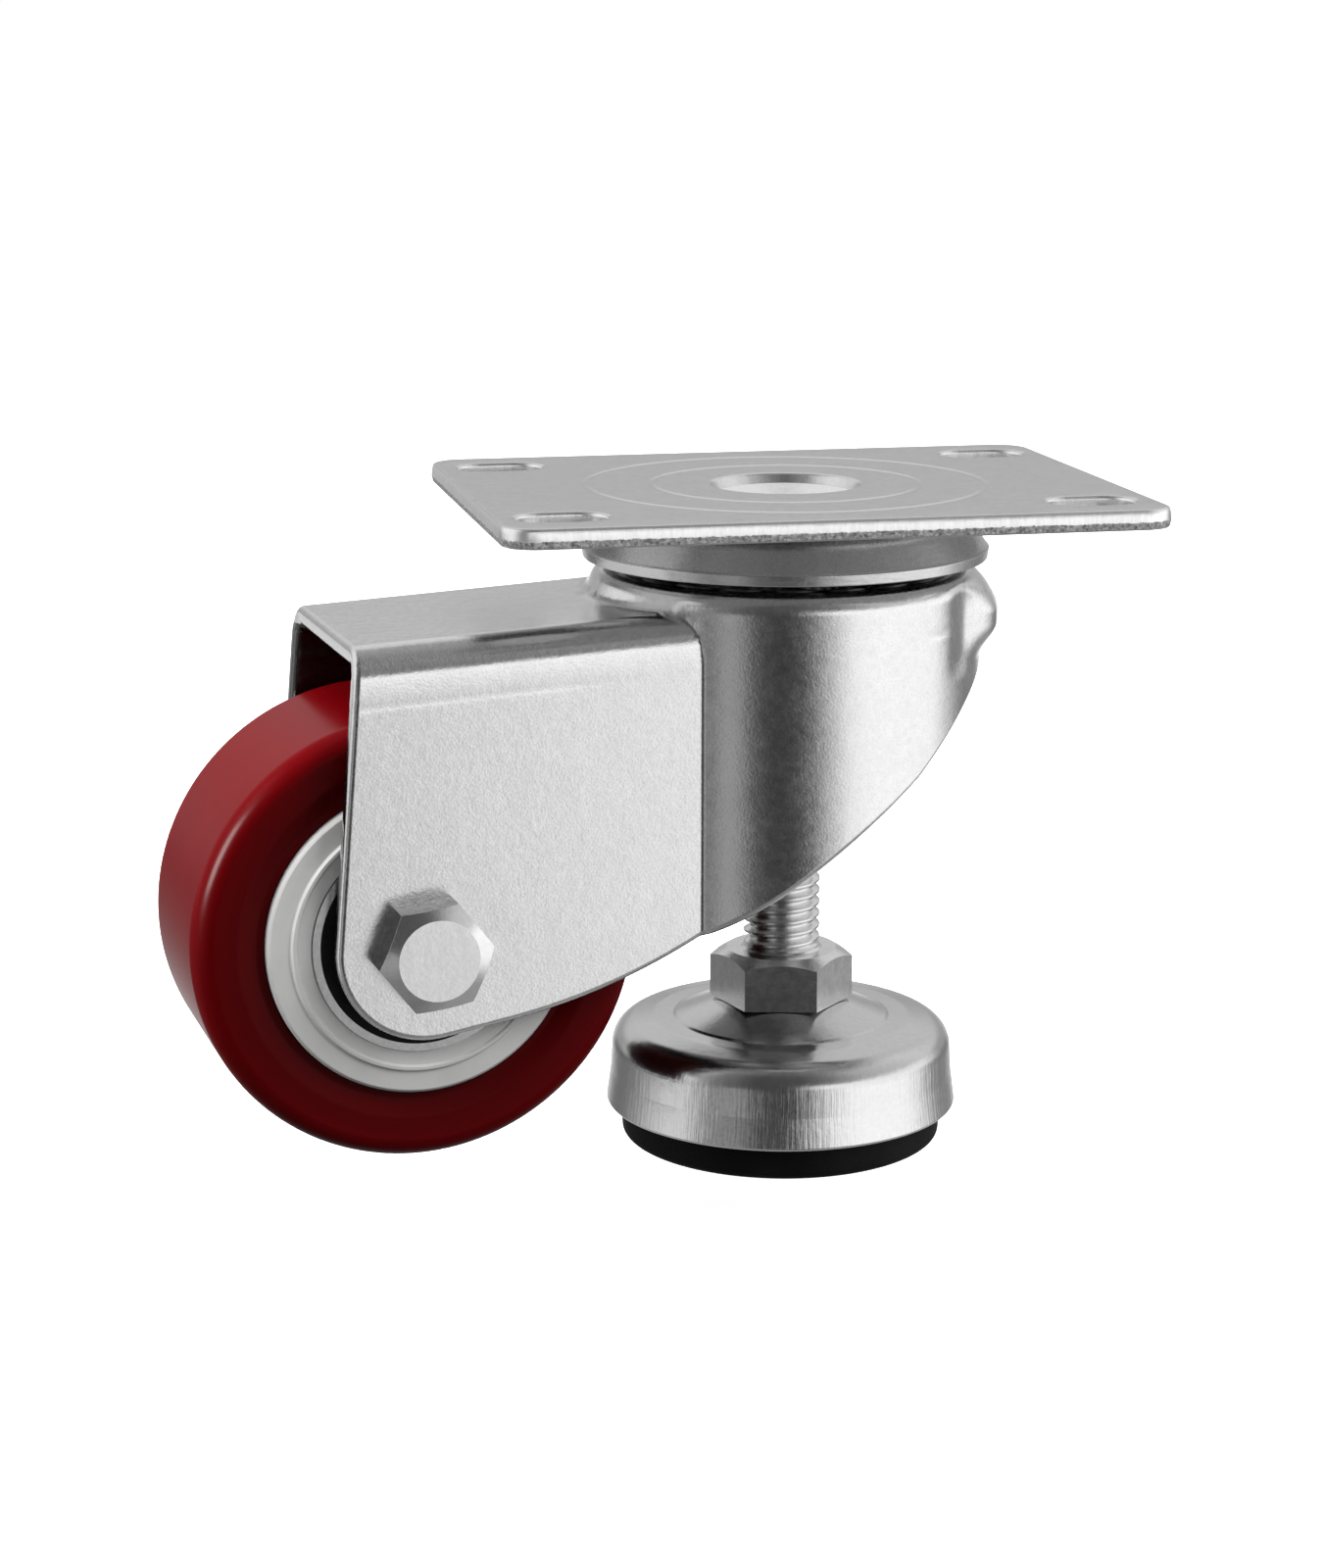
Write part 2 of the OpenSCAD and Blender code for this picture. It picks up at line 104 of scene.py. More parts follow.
def filleted(corners, closed=True, degrees_per_step=10):
    """An outline of (a, b) or (a, b, fillet radius) corners, with the fillets drawn as arcs."""
    count = len(corners)
    out = []
    for i, corner in enumerate(corners):
        here = np.array(corner[:2], float)
        radius = corner[2] if len(corner) > 2 else 0
        at_end = not closed and i in (0, count - 1)
        if radius <= 0 or at_end:
            out.append(here)
            continue
        before = np.array(corners[i - 1][:2], float) - here
        after = np.array(corners[(i + 1) % count][:2], float) - here
        run_in, run_out = np.linalg.norm(before), np.linalg.norm(after)
        before, after = before / run_in, after / run_out
        opening = math.acos(np.clip(before @ after, -1, 1))
        if math.pi - opening < 1e-3:
            out.append(here)
            continue
        reach = min(radius / math.tan(opening / 2), 0.49 * run_in, 0.49 * run_out)
        radius = reach * math.tan(opening / 2)
        middle = (before + after) / np.linalg.norm(before + after)
        centre = here + middle * radius / math.sin(opening / 2)
        first, last = here + before * reach - centre, here + after * reach - centre
        turn = math.pi - opening
        steps = max(2, round(math.degrees(turn) / degrees_per_step))
        for k in range(steps + 1):
            a, b = math.sin(turn * (1 - k / steps)), math.sin(turn * k / steps)
            out.append(centre + (first * a + last * b) / math.sin(turn))
    return out


SCREW_COLUMNS = 60           # points round a thread and round the hexagon joined to it


def hex_radius(angle, across_flats):
    return across_flats / 2 / math.cos((angle + TAU / 12) % (TAU / 6) - TAU / 12)


def turned(rows, columns=120, closed=True, across=0.0, face_r=0.0):
    """Vertices and faces of rows of (radius, height) turned about the Z axis.

    A row ("hex", height, side) follows a hexagon of that size across its flats. With side +1, below an
    upper face, or -1, above a lower one, its corners are cut back by a 30 degree chamfer from face_r.
    """
    verts, rings, faces = [], [], []
    for radius, height, *side in rows:
        if radius != "hex" and radius < 1e-6:
            rings.append([len(verts)] * columns)
            verts.append((0, 0, height))
            continue
        rings.append(range(len(verts), len(verts) + columns))
        for j in range(columns):
            a = TAU * j / columns
            r, z = radius, height
            if radius == "hex":
                r = hex_radius(a, across)
                z -= side[0] * (r - face_r) * math.tan(TAU / 12)
            verts.append((r * math.cos(a), r * math.sin(a), z))
    pairs = list(zip(rings, rings[1:]))
    if closed:
        pairs.append((rings[-1], rings[0]))
    for low, high in pairs:
        for j in range(columns):
            k = (j + 1) % columns
            face = tuple(dict.fromkeys((low[j], low[k], high[k], high[j])))
            if len(face) > 2:
                faces.append(face)
    return verts, faces


def hex_turned(rows, across, face_r):
    return turned(rows, SCREW_COLUMNS, False, across, face_r)


def thread(radius, pitch, depth, low, high, end_r):
    """A right-hand screw thread whose rows follow the helix, closed at the top by a flat end."""
    columns, rows_per_turn = SCREW_COLUMNS, 12
    root_flat, flank = 0.16, 0.62        # shares of half a pitch
    lead_in, lead_out = 0.5 * pitch, 0.8 * pitch
    verts, faces = [], []
    turns = math.ceil((high - low) / pitch) + 1
    rows = turns * rows_per_turn
    for i in range(rows + 1):
        share = i % rows_per_turn / rows_per_turn
        slope = abs(share * 2 - 1)
        cut = depth * np.clip((slope - root_flat) / flank, 0, 1)
        for j in range(columns):
            raw = low - pitch + (i / rows_per_turn + j / columns) * pitch
            z = min(max(raw, low), high)
            fade = min(1, max(0, (high - z) / lead_out))
            r = radius - cut * min(1, max(0, (z - low) / lead_in))
            r = end_r + (r - end_r) * min(1, fade * 1.2)
            a = TAU * j / columns
            verts.append((r * math.cos(a), r * math.sin(a), z))
    for i in range(rows):
        for j in range(columns):
            here, right = i * columns + j, i * columns + j + 1
            if j == columns - 1:
                right = (i + rows_per_turn) * columns
            if right + columns < len(verts):
                faces.append((here, right, right + columns, here + columns))
    rim = circle_loop(end_r, columns)
    flat = ([(0, 0, high)] + lifted(rim, high), [(0, 1 + j, 1 + (j + 1) % columns) for j in range(columns)])
    return joined((verts, faces), flat)


def joined(*parts):
    """Several (verts, faces) as one."""
    verts, faces = [], []
    for part_verts, part_faces in parts:
        shift = len(verts)
        verts.extend(part_verts)
        faces.extend(tuple(i + shift for i in face) for face in part_faces)
    return verts, faces


def assign(thing, **settings):
    for key, value in settings.items():
        setattr(thing, key, value)
    return thing


def new_object(name, data):
    made = bpy.data.objects.new(name, data)
    bpy.context.scene.collection.objects.link(made)
    return made


def make_piece(name, shape, placed, body, finish, replaces=(), sharp=32, bevel=0.0, bevel_angle=35):
    """A finished object from a shape in mm: merged, turned outwards, shaded, and riding on its body."""
    mesh = bpy.data.meshes.new(name)
    bm = bmesh.new()
    made = [bm.verts.new(v) for v in shape[0]]
    for face in shape[1]:
        try:
            bm.faces.new([made[i] for i in face])
        except ValueError:
            pass
    bmesh.ops.remove_doubles(bm, verts=bm.verts, dist=2e-4)
    bmesh.ops.dissolve_degenerate(bm, dist=1e-5, edges=bm.edges)
    loose = [v for v in bm.verts if not v.link_faces]
    bmesh.ops.delete(bm, geom=loose, context="VERTS")
    bmesh.ops.recalc_face_normals(bm, faces=bm.faces)
    bmesh.ops.transform(bm, matrix=Matrix.Scale(MM, 4) @ placed, verts=bm.verts)
    bm.to_mesh(mesh)
    bm.free()
    mesh.shade_smooth()
    mesh.set_sharp_from_angle(angle=math.radians(sharp))
    mesh.materials.append(finish)
    piece = new_object(name, mesh)
    if bevel:
        assign(piece.modifiers.new("edge_rounding", "BEVEL"), width=bevel * MM, segments=3,
               limit_method="ANGLE", angle_limit=math.radians(bevel_angle), harden_normals=True)
    assign(piece.modifiers.new("flat_faces_first", "WEIGHTED_NORMAL"), keep_sharp=True, weight=80)
    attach(piece, body)
    if replaces:
        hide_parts(*replaces)
    return piece


def inside_loops(points, loops):
    """True for each point that lies inside an odd number of closed loops."""
    result = np.zeros(len(points), bool)
    px, py = points[:, 0], points[:, 1]
    for loop in loops:
        a = np.array(loop, float)
        b = np.roll(a, -1, axis=0)
        for (ax, ay), (bx, by) in zip(a, b):
            crosses = (ay > py) != (by > py)
            if by != ay:
                result ^= crosses & (px < (bx - ax) * (py - ay) / (by - ay) + ax)
    return result


def filled(loops, creases=()):
    """Triangles between closed loops, with edges along the creases too. Returns (2D points, faces)."""
    verts, edges = [], []
    for loop in list(loops) + list(creases):
        first = len(verts)
        verts.extend(Vector((p[0], p[1])) for p in loop)
        count = len(loop)
        edges.extend((first + i, first + (i + 1) % count) for i in range(count))
    out = delaunay_2d_cdt(verts, edges, [], 0, 1e-6)
    points = np.array([tuple(v) for v in out[0]])
    faces = [tuple(f) for f in out[2]]
    centres = np.array([points[list(f)].mean(0) for f in faces])
    keep = inside_loops(centres, loops)
    return points, [f for f, k in zip(faces, keep) if k]


def strip(loop_a, loop_b):
    """Quads between two closed loops of 3D points of the same length."""
    count = len(loop_a)
    faces = [(i, (i + 1) % count, count + (i + 1) % count, count + i) for i in range(count)]
    return loop_a + loop_b, faces


def arc(cx, cy, radius, start, turn, steps):
    """Points along a part of a circle, with both its ends."""
    angles = [start + turn * i / steps for i in range(steps + 1)]
    return [(cx + radius * math.cos(a), cy + radius * math.sin(a)) for a in angles]


def circle_loop(radius, count, centre=(0, 0)):
    return arc(*centre, radius, 0, TAU, count)[:-1]


def lifted(loop, z):
    return [(p[0], p[1], z) for p in loop]


def walls(loop_at, steps, base=0.0):
    """Strips between loops, one for each step of (size for loop_at, height above the base)."""
    loops = [lifted(loop_at(size), base + height) for size, height in steps]
    return [strip(a, b) for a, b in zip(loops, loops[1:])]


# ---- Materials ----

def feed(shader, name, value):
    """Gives a node's input a value, or links a socket to it."""
    if isinstance(value, bpy.types.NodeSocket):
        shader.id_data.links.new(value, shader.inputs[name])
    else:
        shader.inputs[name].default_value = value


def node(tree, kind, inputs=None, **settings):
    """A shader node with its inputs given as values or as sockets to link."""
    made = assign(tree.nodes.new("ShaderNode" + kind), **settings)
    for key, value in (inputs or {}).items():
        feed(made, key, value)
    return made


def new_material(name):
    finish = bpy.data.materials.new(name)
    finish.use_nodes = True
    tree = finish.node_tree
    tree.nodes.clear()
    shader = node(tree, "BsdfPrincipled")
    node(tree, "OutputMaterial", {"Surface": shader.outputs[0]})
    place = node(tree, "TexCoord").outputs["Object"]
    return finish, shader, place


def noise(place, size_mm, detail=2.0, roughness=0.5):
    inputs = {"Vector": place, "Scale": 1 / (size_mm * MM), "Detail": detail, "Roughness": roughness}
    return node(place.id_data, "TexNoise", inputs).outputs["Fac"]


def remap(value, low, high, to_low=0.0, to_high=1.0):
    inputs = {"Value": value, "From Min": low, "From Max": high, "To Min": to_low, "To Max": to_high}
    return node(value.id_data, "MapRange", inputs).outputs["Result"]


def vary(pattern, low, high):
    """A value that runs from low to high over the range that a noise pattern covers."""
    return remap(pattern, 0.3, 0.7, low, high)


def maths(operation, a, b=0.0):
    tree = a.id_data if isinstance(a, bpy.types.NodeSocket) else b.id_data
    return node(tree, "Math", {0: a, 1: b}, operation=operation).outputs[0]


def plus(a, b):
    return maths("ADD", a, b)


def times(first, *others):
    for other in others:
        first = maths("MULTIPLY", first, other)
    return first


def vectors(operation, a, b=(0, 0, 0), output="Vector"):
    return node(a.id_data, "VectorMath", {0: a, 1: b}, operation=operation).outputs[output]


def mixed(a, b, share):
    """a where share is 0, b where it is 1."""
    return plus(times(b, share), times(a, maths("SUBTRACT", 1.0, share)))


def fed(shader, name):
    return shader.inputs[name].links[0].from_socket


def ramp(value, stops):
    """A colour ramp from (place, colour) stops, where a colour may be a single grey."""
    made = node(value.id_data, "ValToRGB", {"Fac": value})
    elements = made.color_ramp.elements
    while len(elements) < len(stops):
        elements.new(0.5)
    for element, (spot, colour) in zip(elements, stops):
        element.position = spot
        if not isinstance(colour, tuple):
            colour = (colour, colour, colour)
        element.color = (*colour, 1)
    return made.outputs["Color"]


def bump(height, depth_mm, normal=None):
    inputs = {"Height": height, "Distance": depth_mm * MM, "Strength": 1.0}
    if normal is not None:
        inputs["Normal"] = normal
    return node(height.id_data, "Bump", inputs).outputs["Normal"]


def xyz(vector):
    apart = node(vector.id_data, "SeparateXYZ", {"Vector": vector})
    return [apart.outputs[axis] for axis in "XYZ"]


def combined(x, y, z):
    return node(x.id_data, "CombineXYZ", {"X": x, "Y": y, "Z": z}).outputs["Vector"]


def zinc_steel(name, tone, mottle, rough, spread=0.05, grain_mm=0.35, grain_depth=0.006, dapple=0.02):
    """Zinc-plated pressed steel: a mottled satin skin with fine grain and slight waviness."""
    finish, shader, place = new_material(name)
    fine = noise(place, grain_mm, 3)
    broad = noise(place, 3.5, 2)
    blotch = noise(place, 0.9, 4, 0.65)
    tint = plus(times(fine, 0.45), times(blotch, 0.55))
    feed(shader, "Base Color", vary(tint, tone - mottle, tone + mottle))
    feed(shader, "Metallic", 1)
    sheen = plus(times(blotch, 0.6), times(broad, 0.4))
    feed(shader, "Roughness", vary(sheen, rough - spread, rough + spread))
    waves = plus(broad, times(blotch, 0.8))
    feed(shader, "Normal", bump(waves, dapple, bump(fine, grain_depth)))
    return finish, shader, place


def plate_finish():
    """Zinc skin, with a blanked sheet's edge: a bright sheared band over a torn, rough break."""
    finish, shader, place = zinc_steel("plate_zinc", tone=0.73, mottle=0.05, rough=0.21, grain_mm=0.3,
                                       grain_depth=0.004, dapple=0.03)
    shear_low, ragged_mm = -1.25, 0.6
    height = maths("DIVIDE", xyz(place)[2], MM)
    facing = xyz(node(place.id_data, "NewGeometry").outputs["True Normal"])[2]
    upright = maths("LESS_THAN", maths("ABSOLUTE", facing), 0.5)
    strokes = noise(vectors("MULTIPLY", place, (1, 1, 0.12)), 0.28, 3)
    tear = noise(place, 0.35, 4, 0.7)
    ragged = plus(height, times(maths("SUBTRACT", tear, 0.5), ragged_mm))
    torn = remap(ragged, shear_low + 0.05, shear_low - 0.05)
    sheared, broken = vary(strokes, 0.86, 1.0), remap(tear, 0.35, 0.65, 0.2, 0.85)
    side = mixed(sheared, broken, torn)
    side_rough = plus(0.3, times(torn, 0.2))
    feed(shader, "Base Color", mixed(fed(shader, "Base Color"), side, upright))
    feed(shader, "Roughness", mixed(fed(shader, "Roughness"), side_rough, upright))
    feed(shader, "Normal", bump(times(tear, torn, upright), 0.25, fed(shader, "Normal")))
    return finish


def fork_finish():
    """Zinc skin, with painted shade that darkens the channel's inner side."""
    finish, shader, place = zinc_steel("fork_zinc", tone=0.77, mottle=0.085, rough=0.2, spread=0.06,
                                       grain_mm=0.24, grain_depth=0.015)
    inner_half, channel_end, inner_drop, painted_inner_shade = 12.9, -15.0, 1.85, 0.8
    x, y, z = xyz(place)
    between = maths("LESS_THAN", maths("ABSOLUTE", y), inner_half * MM)
    behind = maths("LESS_THAN", x, channel_end * MM)
    deck = plus((FRONT_Z - inner_drop - FRONT_X * DECK_CLIMB) * MM, times(x, DECK_CLIMB))
    # Painted shade: the colour is darkened on the inside of the channel, where the fork mouth lies in shadow.
    inner = times(between, behind, maths("LESS_THAN", z, deck))
    kept = maths("SUBTRACT", 1.0, times(inner, painted_inner_shade))
    feed(shader, "Base Color", times(fed(shader, "Base Color"), kept))
    return finish


def cup_finish():
    """Zinc skin with faint turned rings."""
    finish, shader, place = zinc_steel("cup_zinc", tone=0.7, mottle=0.05, rough=0.26, spread=0.08)
    x, y, z = xyz(place)
    angle = maths("ARCTAN2", y, x)
    radius = maths("SQRT", plus(times(x, x), times(y, y)))
    lines = noise(combined(times(angle, 0.004), radius, z), 0.5, 3)
    feed(shader, "Normal", bump(lines, 0.02, fed(shader, "Normal")))
    return finish


def cap_finish():
    """Drawn cap: glossier steel, duller on top, with upright draw lines on its skirt."""
    finish, shader, place = zinc_steel("cap_zinc", tone=0.76, mottle=0.04, rough=0.2, grain_mm=0.4,
                                       grain_depth=0.004)
    shoulder_high, shoulder_low, top_share = -58.6, -59.6, 0.78
    x, y, z = xyz(place)
    angle = maths("ARCTAN2", y, x)
    lines = noise(combined(times(angle, 0.018), times(z, 0.05), 0.0), 0.35, 4, 0.6)
    skirt = remap(maths("DIVIDE", z, MM), shoulder_high, shoulder_low)
    dulled = remap(skirt, 0.0, 1.0, top_share, 1.0)
    feed(shader, "Base Color", times(fed(shader, "Base Color"), dulled))
    feed(shader, "Normal", bump(times(lines, skirt), 0.05, fed(shader, "Normal")))
    return finish


def bright_steel(name, tone, rough, grain_mm=0.5, grain_depth=0.004):
    return zinc_steel(name, tone, 0.05, rough, grain_mm=grain_mm, grain_depth=grain_depth)[0]


def polished_steel(name):
    finish, shader, place = new_material(name)
    marks = noise(place, 0.25, 2)
    feed(shader, "Base Color", (0.82, 0.82, 0.83, 1))
    feed(shader, "Metallic", 1)
    feed(shader, "Roughness", vary(marks, 0.08, 0.16))
    feed(shader, "Normal", bump(marks, 0.001))
    return finish


def red_polyurethane():
    """Cast polyurethane: glossy deep red, with painted light that makes the colour brighter towards the
    tread. The colour is also painted darker where the steel reflects it than where it is seen directly."""
    finish, shader, place = new_material("red_polyurethane")
    rim_light_from, rim_light_to, mirrored_share = 0.0158, 0.0222, 0.25
    reds = [(0.1, (0.066, 0.0003, 0.001)), (0.6, (0.1, 0.0005, 0.0016)), (0.95, (0.14, 0.0008, 0.0026))]
    cloud = noise(place, 7.0, 3)
    skin = noise(place, 2.5, 2)
    fine = noise(place, 0.2, 2)
    centre = Vector(joints["wheel_spin"]["pos_m"])
    apart = vectors("SUBTRACT", place, centre)
    along = vectors("DOT_PRODUCT", apart, axle_line, "Value")
    reach = vectors("LENGTH", apart, output="Value")
    squares = maths("SUBTRACT", times(reach, reach), times(along, along))
    # Painted light: the red gets brighter outwards towards the tread.
    painted_rim_light = remap(maths("SQRT", squares), rim_light_from, rim_light_to, 0.0, 0.75)
    red = ramp(plus(painted_rim_light, times(cloud, 0.25)), reds)
    # Painted shade in reflections: steel that mirrors the tyre sees its red at a quarter of its value.
    mirrored = node(place.id_data, "LightPath").outputs["Is Glossy Ray"]
    dimmed = remap(mirrored, 0.0, 1.0, 1.0, mirrored_share)
    feed(shader, "Base Color", vectors("MULTIPLY", red, dimmed))
    feed(shader, "Roughness", 0.24)
    feed(shader, "IOR", 1.13)
    feed(shader, "Normal", bump(fine, 0.0012, bump(skin, 0.008)))
    return finish


def moulded_plastic(name, dark, light, rough):
    finish, shader, place = new_material(name)
    grain = noise(place, 0.25, 3)
    feed(shader, "Base Color", ramp(noise(place, 5.0, 3), [(0.3, dark), (0.7, light)]))
    feed(shader, "Roughness", vary(grain, rough - 0.05, rough + 0.07))
    feed(shader, "Normal", bump(grain, 0.004))
    feed(shader, "Subsurface Weight", 0.05)
    feed(shader, "Subsurface Scale", 0.001)
    return finish


def black_rubber(name, rough=0.55, grain_mm=0.22, depth=0.012):
    """Moulded rubber: matt black with a fine grain, dusty grey in patches."""
    finish, shader, place = new_material(name)
    grain = noise(place, grain_mm, 3)
    dust = noise(place, 4.0, 4, 0.6)
    feed(shader, "Base Color", ramp(dust, [(0.35, 0.0035), (0.75, 0.008)]))
    feed(shader, "Roughness", vary(grain, rough - 0.07, rough + 0.1))
    feed(shader, "Normal", bump(grain, depth))
    feed(shader, "Specular IOR Level", 0.1)
    return finish


PLATE_ZINC = plate_finish()
FORK_ZINC = fork_finish()
CUP_ZINC = cup_finish()
CAP_ZINC = cap_finish()
BRIGHT_ZINC = bright_steel("bright_zinc", 0.78, 0.2)
RIVET_ZINC = bright_steel("rivet_zinc", 0.93, 0.16)
STEM_ZINC = bright_steel("stem_zinc", 0.72, 0.24, grain_mm=0.3, grain_depth=0.008)
BEARING_STEEL = polished_steel("bearing_steel")
RING_STEEL = bright_steel("ring_steel", 0.42, 0.24)
# Dark steel for the race balls: partly their grease, partly painted shade of the narrow race gap.
GREASE_AND_SHADE_STEEL = bright_steel("grease_and_shade_steel", 0.2, 0.35)
RED = red_polyurethane()
HUB_PLASTIC = moulded_plastic("hub_plastic", (0.7, 0.7, 0.69), (0.78, 0.78, 0.77), 0.36)
CAGE_NYLON = moulded_plastic("cage_nylon", (0.6, 0.56, 0.46), (0.7, 0.66, 0.56), 0.45)
BLUE_NYLON = moulded_plastic("blue_nylon", (0.03, 0.09, 0.3), (0.05, 0.12, 0.36), 0.4)
SEAL_RUBBER = black_rubber("seal_rubber", 0.45, 0.2, 0.004)
PAD_RUBBER = black_rubber("pad_rubber", 0.55)


# ---- Top plate ----

PLATE_CORNER_R = 3.5
SLOT_PITCH = (53.0, 36.5)
SLOT_L, SLOT_W = 9.0, 6.0
RING_MARKS = (13.7, 20.4)
RING_MARK_HALF = 0.55
RING_MARK_DEPTH = 0.09
DIMPLE_EDGE_R = 8.2
KINGPIN_SEAT_R = 6.32


def rounded_rect(length, width, radius, inset):
    """Closed loop of a rounded rectangle moved in by inset, with the same point count for any inset."""
    corner_steps, spacing = 8, 3.0
    hx, hy = length / 2 - radius, width / 2 - radius
    corners = [arc(cx, cy, radius - inset, (k - 1) * TAU / 4, TAU / 4, corner_steps)
               for k, (cx, cy) in enumerate(((hx, -hy), (hx, hy), (-hx, hy), (-hx, -hy)))]
    loop = []
    for k, corner in enumerate(corners):
        loop += corner
        (ax, ay), (bx, by) = corner[-1], corners[(k + 1) % 4][0]
        runs = round(2 * (hx if k % 2 else hy) / spacing)
        loop += [(ax + (bx - ax) * i / runs, ay + (by - ay) * i / runs) for i in range(1, runs)]
    return loop


def slot_loop(centre, outset):
    """Closed loop of a slot along X, opened out by outset."""
    (cx, cy), run, r, steps = centre, (SLOT_L - SLOT_W) / 2, SLOT_W / 2 + outset, 12
    return arc(cx + run, cy, r, -TAU / 4, TAU / 2, steps) + arc(cx - run, cy, r, TAU / 4, TAU / 2, steps)


def build_plate():
    top, low = plate_high.z, plate_low.z
    length, width = plate_high.x - plate_low.x, plate_high.y - plate_low.y
    edge_steps = [(0.55, 0), (0.36, -0.04), (0.22, -0.13), (0.14, -0.3), (0.09, -0.6), (0, -1.3),
                  (0.05, -1.42), (0.12, -1.85), (0.22, low - top)]
    slot_steps = [(0.45, 0), (0.22, -0.05), (0.07, -0.18), (0, -0.4), (0, -1.4), (0.08, low - top)]
    centres = [(sx * SLOT_PITCH[0] / 2, sy * SLOT_PITCH[1] / 2) for sx in (-1, 1) for sy in (-1, 1)]
    dimple = filleted([(DIMPLE_EDGE_R, 0), (7.7, -0.02, 0.8), (7.05, -0.95, 0.3), (KINGPIN_SEAT_R, -1.4, 0.2),
                       (KINGPIN_SEAT_R, low - top)], closed=False)
    outline = partial(rounded_rect, length, width, PLATE_CORNER_R)
    circle = partial(circle_loop, count=96)
    marks = [circle_loop(r + RING_MARK_HALF * k / 3, 120) for r in RING_MARKS for k in range(-3, 4)]
    holes = [slot_loop(centre, slot_steps[0][0]) for centre in centres]
    points, faces = filled([outline(edge_steps[0][0]), *holes, circle(DIMPLE_EDGE_R)], marks)
    radii = np.hypot(points[:, 0], points[:, 1])
    heights = np.zeros(len(points))
    for r in RING_MARKS:
        offset = np.clip((radii - r) / RING_MARK_HALF, -1, 1)
        heights -= RING_MARK_DEPTH * (0.5 + 0.5 * np.cos(offset * math.pi))
    parts = [([(x, y, top + h) for (x, y), h in zip(points, heights)], faces)]
    parts += walls(outline, edge_steps, top)
    for centre in centres:
        parts += walls(partial(slot_loop, centre), slot_steps, top)
    parts += walls(circle, dimple, top)
    holes = [slot_loop(centre, slot_steps[-1][0]) for centre in centres]
    points, faces = filled([outline(edge_steps[-1][0]), *holes, circle(KINGPIN_SEAT_R)])
    parts.append((lifted(points, low), faces))
    return make_piece("top_plate", joined(*parts), ON_PLATE, "plate", PLATE_ZINC,
                      ["mounting_plate"], sharp=50)


# ---- Swivel head ----

def build_cup():
    rim, top = cup_low.z, cup_high.z
    edge = cup_high.x
    outline = [(KINGPIN_SEAT_R, top), (16.0, top, 1.6), (19.1, top - 1.7, 2.6),
               (edge - 0.22, rim + 1.25, 0.3), (edge, rim + 1.05, 0.12), (edge - 0.15, rim, 0.12),
               (edge - 1.3, rim + 0.05, 0.1), (edge - 2.4, top - 3.1, 2.0), (15.6, top - 1.5, 1.2),
               (KINGPIN_SEAT_R, top - 1.5)]
    return make_piece("race_cup", turned(filleted(outline), 144), ON_PLATE, "plate",
                      CUP_ZINC, ["upper_race_cup"])


def build_kingpin():
    """Hollow rivet: its spun-over head fills the plate's dimple, its bore is threaded for the stem."""
    bore, shank = 4.06, 6.3
    low, flange = kingpin_low.z, kingpin_high.x
    flange_top, flange_foot = -14.95, -16.55
    outline = [(bore, low, 0.2), (bore, -2.1, 0.35), (6.9, -0.93, 0.3), (7.0, -1.0, 0.05),
               (shank, -1.4), (shank, flange_top), (flange, flange_top, 0.3), (flange, flange_foot, 0.3),
               (shank, flange_foot), (shank, low, 0.4)]
    return make_piece("kingpin_rivet", turned(filleted(outline), 96), ON_PLATE, "plate",
                      RIVET_ZINC, ["kingpin"])


# ---- Fork ----

FORK_HALF = fork_high.y if fork_high.y < 15 else 14.75
SHEET = 2.0
BEND_R = 2.9
BAND_DROP = 5.4              # depth below the deck at which a cheek becomes flat
FOLD_DEPTH = 0.045           # faint fold line along the foot of that band
FOLD_END = (-30, -18)        # over which it dies away towards the crown
BAND_LEAN = 0.34             # how far the cheek leans in by the top of that band
FRONT_LEAN = 2.5             # how far the front edge slopes back from the axle up to the deck
CROWN_R = 20.2
CROWN_TOP = -8.02
CROWN_EDGE_R = 2.3
CROWN_HOLE_R = 7.5
CHEEK_END_R = 9.2
LOWER_SLOPE, LOWER_ARC_R, LOWER_ARC_SLOPE = math.radians(9.5), 64.0, math.radians(37)
LOWER_ARC_X = -34.0
TAIL_X = 8.0                 # where the run behind that arc ends
TAIL = ((14.2, -21.7), (18.2, -18.3), (20.2, -16.9), (23.0, -16.2))
PLAIN_X = -16.2              # the cheek is flat in front of this
DENSE_X = -26.0              # the grid's columns are closer together behind this
TURN_X = -25.0               # and begin to turn towards the crown's axis here
CREASE_X = -math.sqrt(CROWN_R ** 2 - FORK_HALF ** 2)
CHANNEL_END = -6.0           # where the channel stops, inside the crown
BLEND_LOW, BLEND_RISE = 0.12, 1.3      # tight seam below the deck, soft one above it
BLEND_HEIGHTS = (-1.4, 0.3)
HOLE_R = 3.1
EDGE_ROUNDING = 0.7
BEAD = 1.75                  # how far the crown's free end is rolled out
BEAD_ANGLES = (30, 46)       # degrees round from the free end over which the roll dies away
BEAD_TOP, BEAD_FOOT = (-8.4, -12.6), (-17.3, -13.6)
VALLEY, VALLEY_ANGLE, VALLEY_SPREAD = 0.3, 48, 5.5
VALLEY_TOP, VALLEY_FOOT = (-8.6, -10.5), (-19, -16)
CREASE, CREASE_Z, CREASE_SPREAD = 0.1, -13.2, 0.35
CREASE_START, CREASE_STOP = (52, 60), (62, 80)
SPINE = 6.0                  # depth inside the skin from which the skin is measured
FAN_DEPTH = 4.2              # depth of the point about which the rows turn from cheek to deck
GRID_DEPTH = 6.6             # depth of the lowest row above the flat part of a cheek
HEM = 0.95                   # height of the first row above the lower edge
WALL_ROWS, BAND_ROWS, FAN_ROWS, DECK_ROWS = 34, 8, 30, 46


def deck_z(x):
    return FRONT_Z + (x - FRONT_X) * DECK_CLIMB


